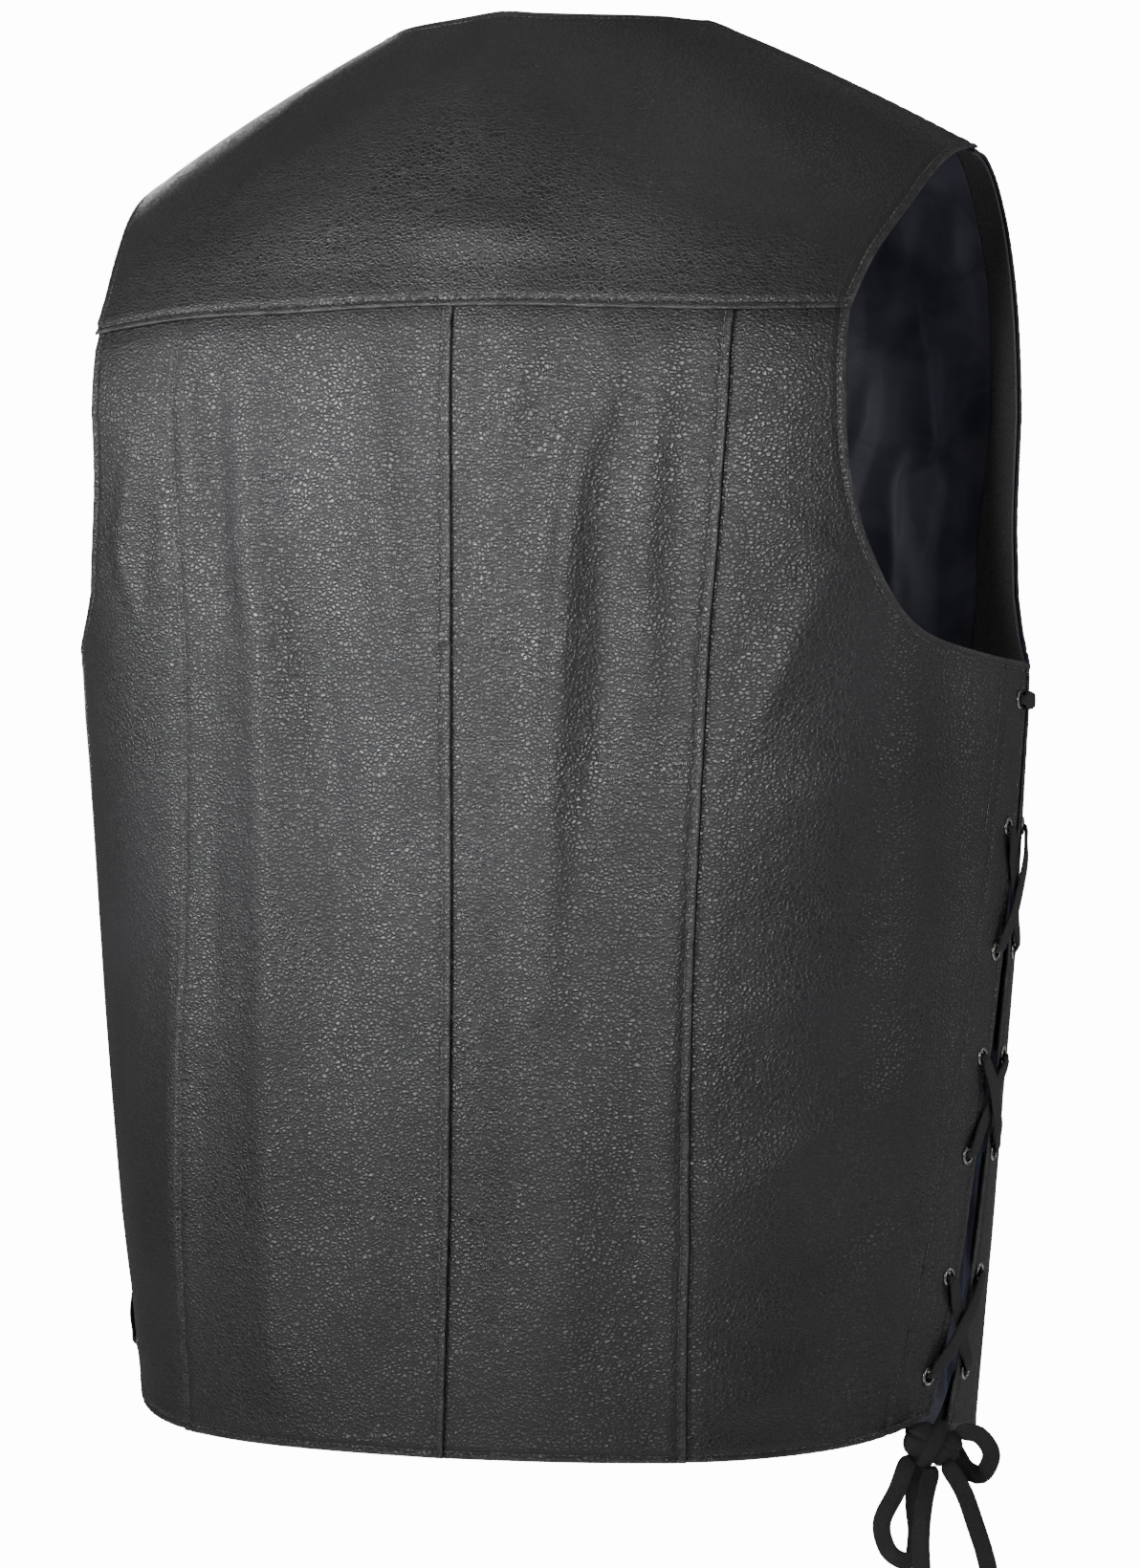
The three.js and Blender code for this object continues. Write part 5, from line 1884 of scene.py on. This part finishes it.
@dataclass(frozen=True)
class LeatherFinish:
    """Pebbled black leather: round pebbles with creases between them, slack and fine wrinkles."""

    name: str
    dark: Colour = (0.010, 0.010, 0.011)
    light: Colour = (0.024, 0.024, 0.027)
    worn: Colour = (0.075, 0.073, 0.072)
    grain: float = 2.3
    depth: float = 0.17
    rough: tuple[float, float] = (0.26, 0.36)
    slack: float = 0.5
    gloss: float = 0.5

    def material(self) -> bpy.types.Material:
        """Builds the material.

        Noise bends the cells. Each cell rises as 1 less the square of its
        nearness to its own edge.

        Returns:
            The material.
        """
        tree = Tree(self.name)
        place = tree.place()
        warp = tree.add("TexNoise", {"Vector": place, "Scale": 260.0, "Detail": 3.0}).outputs["Color"]
        bent = tree.add(
            "VectorMath", {0: warp, 1: (0.0020, 0.0020, 0.0020), 2: place}, operation="MULTIPLY_ADD"
        ).outputs[0]
        bent = tree.add("Mapping", {"Vector": bent, "Scale": (1.0, 1.0, 1.3)}).outputs[0]
        cells, small = (
            tree.add("TexVoronoi", {"Vector": bent, "Scale": fine / self.grain}, feature=kind).outputs[0]
            for fine, kind in ((1000.0, "DISTANCE_TO_EDGE"), (2300.0, "F1"))
        )
        share = tree.ranged(cells, 0.0, 0.42, 1.0, 0.0)
        domes = tree.math("SUBTRACT", 1.0, tree.math("MULTIPLY", share, share))
        broad = tree.noise(place, 24.0, 4.0, Roughness=0.6)
        grain = tree.math("MULTIPLY_ADD", small, -0.30, domes)
        creased = tree.noise(bent, 95.0, 3.0, Roughness=0.55)
        wrinkles = tree.bump(creased, 0.35, 0.0008, tree.bump(broad, self.slack, 0.0022))

        colour = tree.mixed(tree.ranged(tree.noise(place, 7.0, 3.0), 0.36, 0.66), self.dark, self.light)
        # Painted shade: where the domes fall away into the creases between pebbles, the base colour goes up
        # to half way to near black
        colour = tree.mixed(tree.ranged(domes, 0.0, 0.7, 0.5, 0.0), colour, (0.007, 0.007, 0.007))
        wear = tree.add("Attribute", attribute_name="wear").outputs["Fac"]
        rubbed = tree.math("MULTIPLY", wear, tree.ranged(creased, 0.42, 0.62, 0.15, 0.85))
        rough = tree.ranged(broad, 0.35, 0.65, *self.rough)
        return tree.shaded({
            "Normal": tree.bump(grain, 1.0, self.depth * MM, wrinkles),
            "Base Color": tree.mixed(rubbed, colour, self.worn),
            "Roughness": tree.math("ADD", rough, tree.ranged(domes, 0.15, 0.85, 0.30, 0.0)),
            "Specular IOR Level": self.gloss,
        })


@dataclass(frozen=True)
class SatinFinish:
    """Satin lining: navy black with a soft gloss and a fine slanting weave."""

    name: str = "navy_satin"
    # Painted light: these default colours, used on the front linings, are several times lighter than the same
    # satin inside the back, standing in for light through the armhole
    dark: Colour = (0.050, 0.051, 0.074)
    light: Colour = (0.105, 0.105, 0.140)

    def material(self) -> bpy.types.Material:
        """Builds the material: slanting waves for the weave, noise for the creases.

        Returns:
            The material.
        """
        tree = Tree(self.name)
        flat = tree.add("UVMap", uv_map="cloth").outputs[0]
        turned = tree.add("Mapping", {"Vector": flat, "Rotation": (0.0, 0.0, 0.6)}).outputs[0]
        waves = {"Vector": turned, "Scale": 620.0, "Distortion": 0.4, "Detail": 1.0}
        weave = tree.add("TexWave", waves).outputs[1]
        soft = tree.noise(tree.place(), 34.0, 4.0, Distortion=0.5)
        return tree.shaded({
            "Normal": tree.bump(weave, 0.22, 0.00006, tree.bump(soft, 0.55, 0.0035)),
            "Base Color": tree.mixed(tree.ranged(soft, 0.35, 0.65), self.dark, self.light),
            "Roughness": tree.ranged(soft, 0.3, 0.7, 0.42, 0.55),
            "Specular IOR Level": 0.3, "Sheen Weight": 0.6, "Sheen Roughness": 0.35,
            "Sheen Tint": (0.25, 0.3, 0.55, 1.0),
        })


@dataclass(frozen=True)
class ThreadFinish:
    """Waxed black sewing thread: dark grey with a twist along it."""

    name: str = "black_thread"

    def material(self) -> bpy.types.Material:
        """Builds the material: noise varies the tone from stitch to stitch.

        Returns:
            The material.
        """
        tree = Tree(self.name)
        place = tree.place()
        tone = tree.ranged(tree.noise(place, 160.0, 2.0), 0.35, 0.65)
        return tree.shaded({
            "Normal": tree.bump(tree.noise(place, 2600.0, 1.0), 0.5, 0.0001),
            "Base Color": tree.mixed(tone, (0.035, 0.034, 0.034), (0.110, 0.106, 0.104)),
            "Roughness": 0.55,
        })


@dataclass(frozen=True)
class MetalFinish:
    """Dark nickel of the eyelets and snap caps, with fine scuffs."""

    name: str = "dark_nickel"
    tone: Colour = (0.36, 0.35, 0.34)

    def material(self) -> bpy.types.Material:
        """Builds the material: noise dulls the tone and the gloss in places.

        Returns:
            The material.
        """
        tree = Tree(self.name)
        dull = tree.noise(tree.place(), 420.0, 5.0, Roughness=0.7)
        return tree.shaded({
            "Normal": tree.bump(dull, 0.25, 0.00008),
            "Base Color": tree.mixed(tree.ranged(dull, 0.4, 0.7), self.tone, (0.16, 0.155, 0.15)),
            "Roughness": tree.ranged(dull, 0.3, 0.7, 0.18, 0.38),
            "Metallic": 1.0,
        })


@dataclass(frozen=True)
class Looks:
    """The finishes of the vest, made once."""

    leather: bpy.types.Material
    yoke: bpy.types.Material
    facing: bpy.types.Material
    lace: bpy.types.Material
    satin: bpy.types.Material
    back_satin: bpy.types.Material
    thread: bpy.types.Material
    metal: bpy.types.Material

    @classmethod
    def made(cls) -> "Looks":
        """Builds every material.

        Returns:
            The finishes.
        """
        return cls(
            leather=LeatherFinish("pebbled_leather").material(),
            yoke=LeatherFinish(
                "pebbled_yoke_leather", dark=(0.010, 0.0095, 0.009), light=(0.022, 0.021, 0.0205)
            ).material(),
            # Painted light: the facing is the same black leather, given a base colour several times lighter
            # to stand in for light that hardly reaches inside the armhole
            facing=LeatherFinish(
                "facing_leather", dark=(0.070, 0.067, 0.068), light=(0.110, 0.106, 0.107), grain=1.3,
                depth=0.14, rough=(0.46, 0.60), slack=0.8, gloss=0.5,
            ).material(),
            lace=LeatherFinish(
                "lace_leather", dark=(0.009, 0.009, 0.009), light=(0.018, 0.018, 0.018), grain=0.9,
                depth=0.08, rough=(0.42, 0.56), slack=0.25, gloss=0.45,
            ).material(),
            # Painted light: the front linings' satin is a lighter copy of the back satin, standing in for
            # light through the armhole
            satin=SatinFinish().material(),
            back_satin=SatinFinish(
                "back_navy_satin", dark=(0.012, 0.013, 0.024), light=(0.026, 0.028, 0.046)
            ).material(),
            thread=ThreadFinish().material(),
            metal=MetalFinish().material(),
        )


# Studio


@dataclass(frozen=True)
class SoftLight:
    """A rectangular soft light that aims at a point."""

    name: str
    place: tuple[float, float, float]
    aim: tuple[float, float, float]
    size: tuple[float, float]
    power: float
    spread: float = 180.0


@dataclass(frozen=True)
class Studio:
    """Camera at the photo's angle, soft lights, a pale floor and a pale surround."""

    azimuth: float = 202.0
    distance: float = 2.5
    height: float = -0.321
    aside: float = 0.0058
    focal_px: float = 5600.0
    image: tuple[int, int] = (1192, 1640)
    floor: float = -1.45
    floor_radius: float = 2.0

    def axes(self) -> tuple[Vector, Vector]:
        """Direction from the vest to the camera, and the image's right."""
        turn = math.radians(self.azimuth)
        back = Vector((math.sin(turn), -math.cos(turn), 0.0))
        return back, Vector((0.0, 0.0, 1.0)).cross(back)

    def camera(self) -> None:
        """Places the camera level with the middle of the vest."""
        back, right = self.axes()
        data = bpy.data.cameras.new("camera")
        data.sensor_width = 36.0
        data.lens = 36.0 * self.focal_px / max(self.image)
        data.clip_start, data.clip_end = 0.05, 50.0
        camera = added("camera", data)
        camera.location = back * self.distance + right * self.aside + Vector((0, 0, self.height))
        camera.rotation_euler = back.to_track_quat("Z", "Y").to_euler()
        bpy.context.scene.camera = camera

    def lights(self) -> tuple[SoftLight, ...]:
        """The soft lights.

        Returns:
            The lights, which are not made yet.
        """
        back, right = self.axes()

        def at(toward: float, aside: float, up: float) -> tuple[float, float, float]:
            """Place by metres toward the camera, to its right and up."""
            return tuple(back * toward + right * aside + Vector((0, 0, up)))

        middle, high = (0.0, 0.0, -0.32), (0.0, 0.0, -0.17)
        return (
            SoftLight("key", at(1.12, -1.62, 0.0), high, (0.24, 0.6), 1.0, 30.0),
            SoftLight("flank", at(0.30, -1.97, 0.0), high, (0.22, 0.6), 0.32, 30.0),
            SoftLight("near", at(2.05, -0.80, 0.0), high, (0.18, 0.6), 0.95, 30.0),
            SoftLight("fill", at(1.5, 1.7, -0.1), middle, (0.25, 0.8), 6.0),
            SoftLight("side", at(-0.3, 2.0, 0.0), middle, (0.4, 1.5), 4.0),
            SoftLight("top", at(0.2, 0.0, 1.9), (0.0, 0.0, -0.1), (1.6, 1.0), 4.0),
            SoftLight("front", at(-2.1, -0.5, 0.1), middle, (0.6, 1.2), 22.0),
        )

    def build(self) -> None:
        """Makes the camera, the lights, the floor and the surround."""
        self.camera()
        for light in self.lights():
            data = bpy.data.lights.new(light.name, "AREA")
            data.shape, data.size, data.size_y = "RECTANGLE", *light.size
            data.energy, data.spread = light.power, math.radians(light.spread)
            lamp = added(light.name, data)
            lamp.location = light.place
            lamp.rotation_euler = (Vector(light.place) - Vector(light.aim)).to_track_quat("Z", "Y").to_euler()
        turn = circle(96)
        rim = np.stack([np.cos(turn), np.sin(turn), turn * 0], axis=1) * self.floor_radius
        mesh = bpy.data.meshes.new("floor")
        mesh.from_pydata((rim + [0, 0, self.floor]).tolist(), [], [list(range(len(rim)))])
        floor = added("floor", mesh)
        tree = Tree("pale_floor")
        tone = tree.ranged(tree.noise(tree.place(), 1.2, 2.0), 0.3, 0.7)
        mesh.materials.append(tree.shaded({
            "Base Color": tree.mixed(tone, (0.88, 0.88, 0.88), (0.92, 0.92, 0.92)),
            "Roughness": 0.9, "Specular IOR Level": 0.1,
            "Emission Color": (1.0, 1.0, 1.0, 1.0), "Emission Strength": 0.45,
        }))
        self.surround()

    @staticmethod
    def surround() -> None:
        """Makes the world: white to look at, dimmer as a light on the leather."""
        lighting, seen = 0.18, 14.0
        world = bpy.data.worlds.new("surround")
        world.use_nodes = True
        tree = world.node_tree
        background = tree.nodes["Background"]
        path = tree.nodes.new("ShaderNodeLightPath")
        level = tree.nodes.new("ShaderNodeMapRange")
        level.inputs[3].default_value, level.inputs[4].default_value = lighting, seen
        tree.links.new(path.outputs["Is Camera Ray"], level.inputs[0])
        tree.links.new(level.outputs[0], background.inputs["Strength"])
        background.inputs["Color"].default_value = (1.0, 1.0, 1.0, 1.0)
        bpy.context.scene.world = world


# Making


def dress_panel(
    panel: Panel, outside: bpy.types.Material, looks: Looks, slot: Slot = Slot.LEATHER
) -> None:
    """Args:
        panel: The panel.
        outside: Material of its outer face.
        looks: The finishes.
        slot: Its slot, which picks the inner face's material.
    """
    piece = panel.build(outside, looks.back_satin if slot is Slot.LEATHER else outside, slot)
    stitches = panel.stitch(looks.thread)
    LOG.info("%s: %d points", piece.name, len(piece.data.vertices))


def main() -> None:
    """Builds the studio and then the vest, piece by piece."""
    logging.basicConfig(level=logging.INFO, format="%(name)s: %(message)s")
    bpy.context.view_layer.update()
    Studio().build()
    looks = Looks.made()

    bow = Bow()
    knot = bow.knot(looks.lace)
    lacings = {side: Lacing(side) for side in Side}
    for side, lacing in lacings.items():
        lacing.lace(looks.lace, bow if side is bow.side else None)
        lacing.eyelets(looks.metal)
    for name in bow.stretches:
        bow.stretch(name, looks.lace)

    dress_panel(Yoke().panel(), looks.yoke, looks)
    for side, lacing in lacings.items():
        places = lacing.places()
        back = Back(side)
        dress_panel(back.centre(), looks.leather, looks)
        dress_panel(back.flank(list(places["back"])), looks.leather, looks)
        leather, facing, lining = Front(side).panels(list(places["front"]))
        dress_panel(leather, looks.leather, looks)
        dress_panel(facing, looks.facing, looks, Slot.FACING)
        lining.build(looks.satin)
    Snaps().build(looks.metal)


if __name__ == "__main__":
    main()
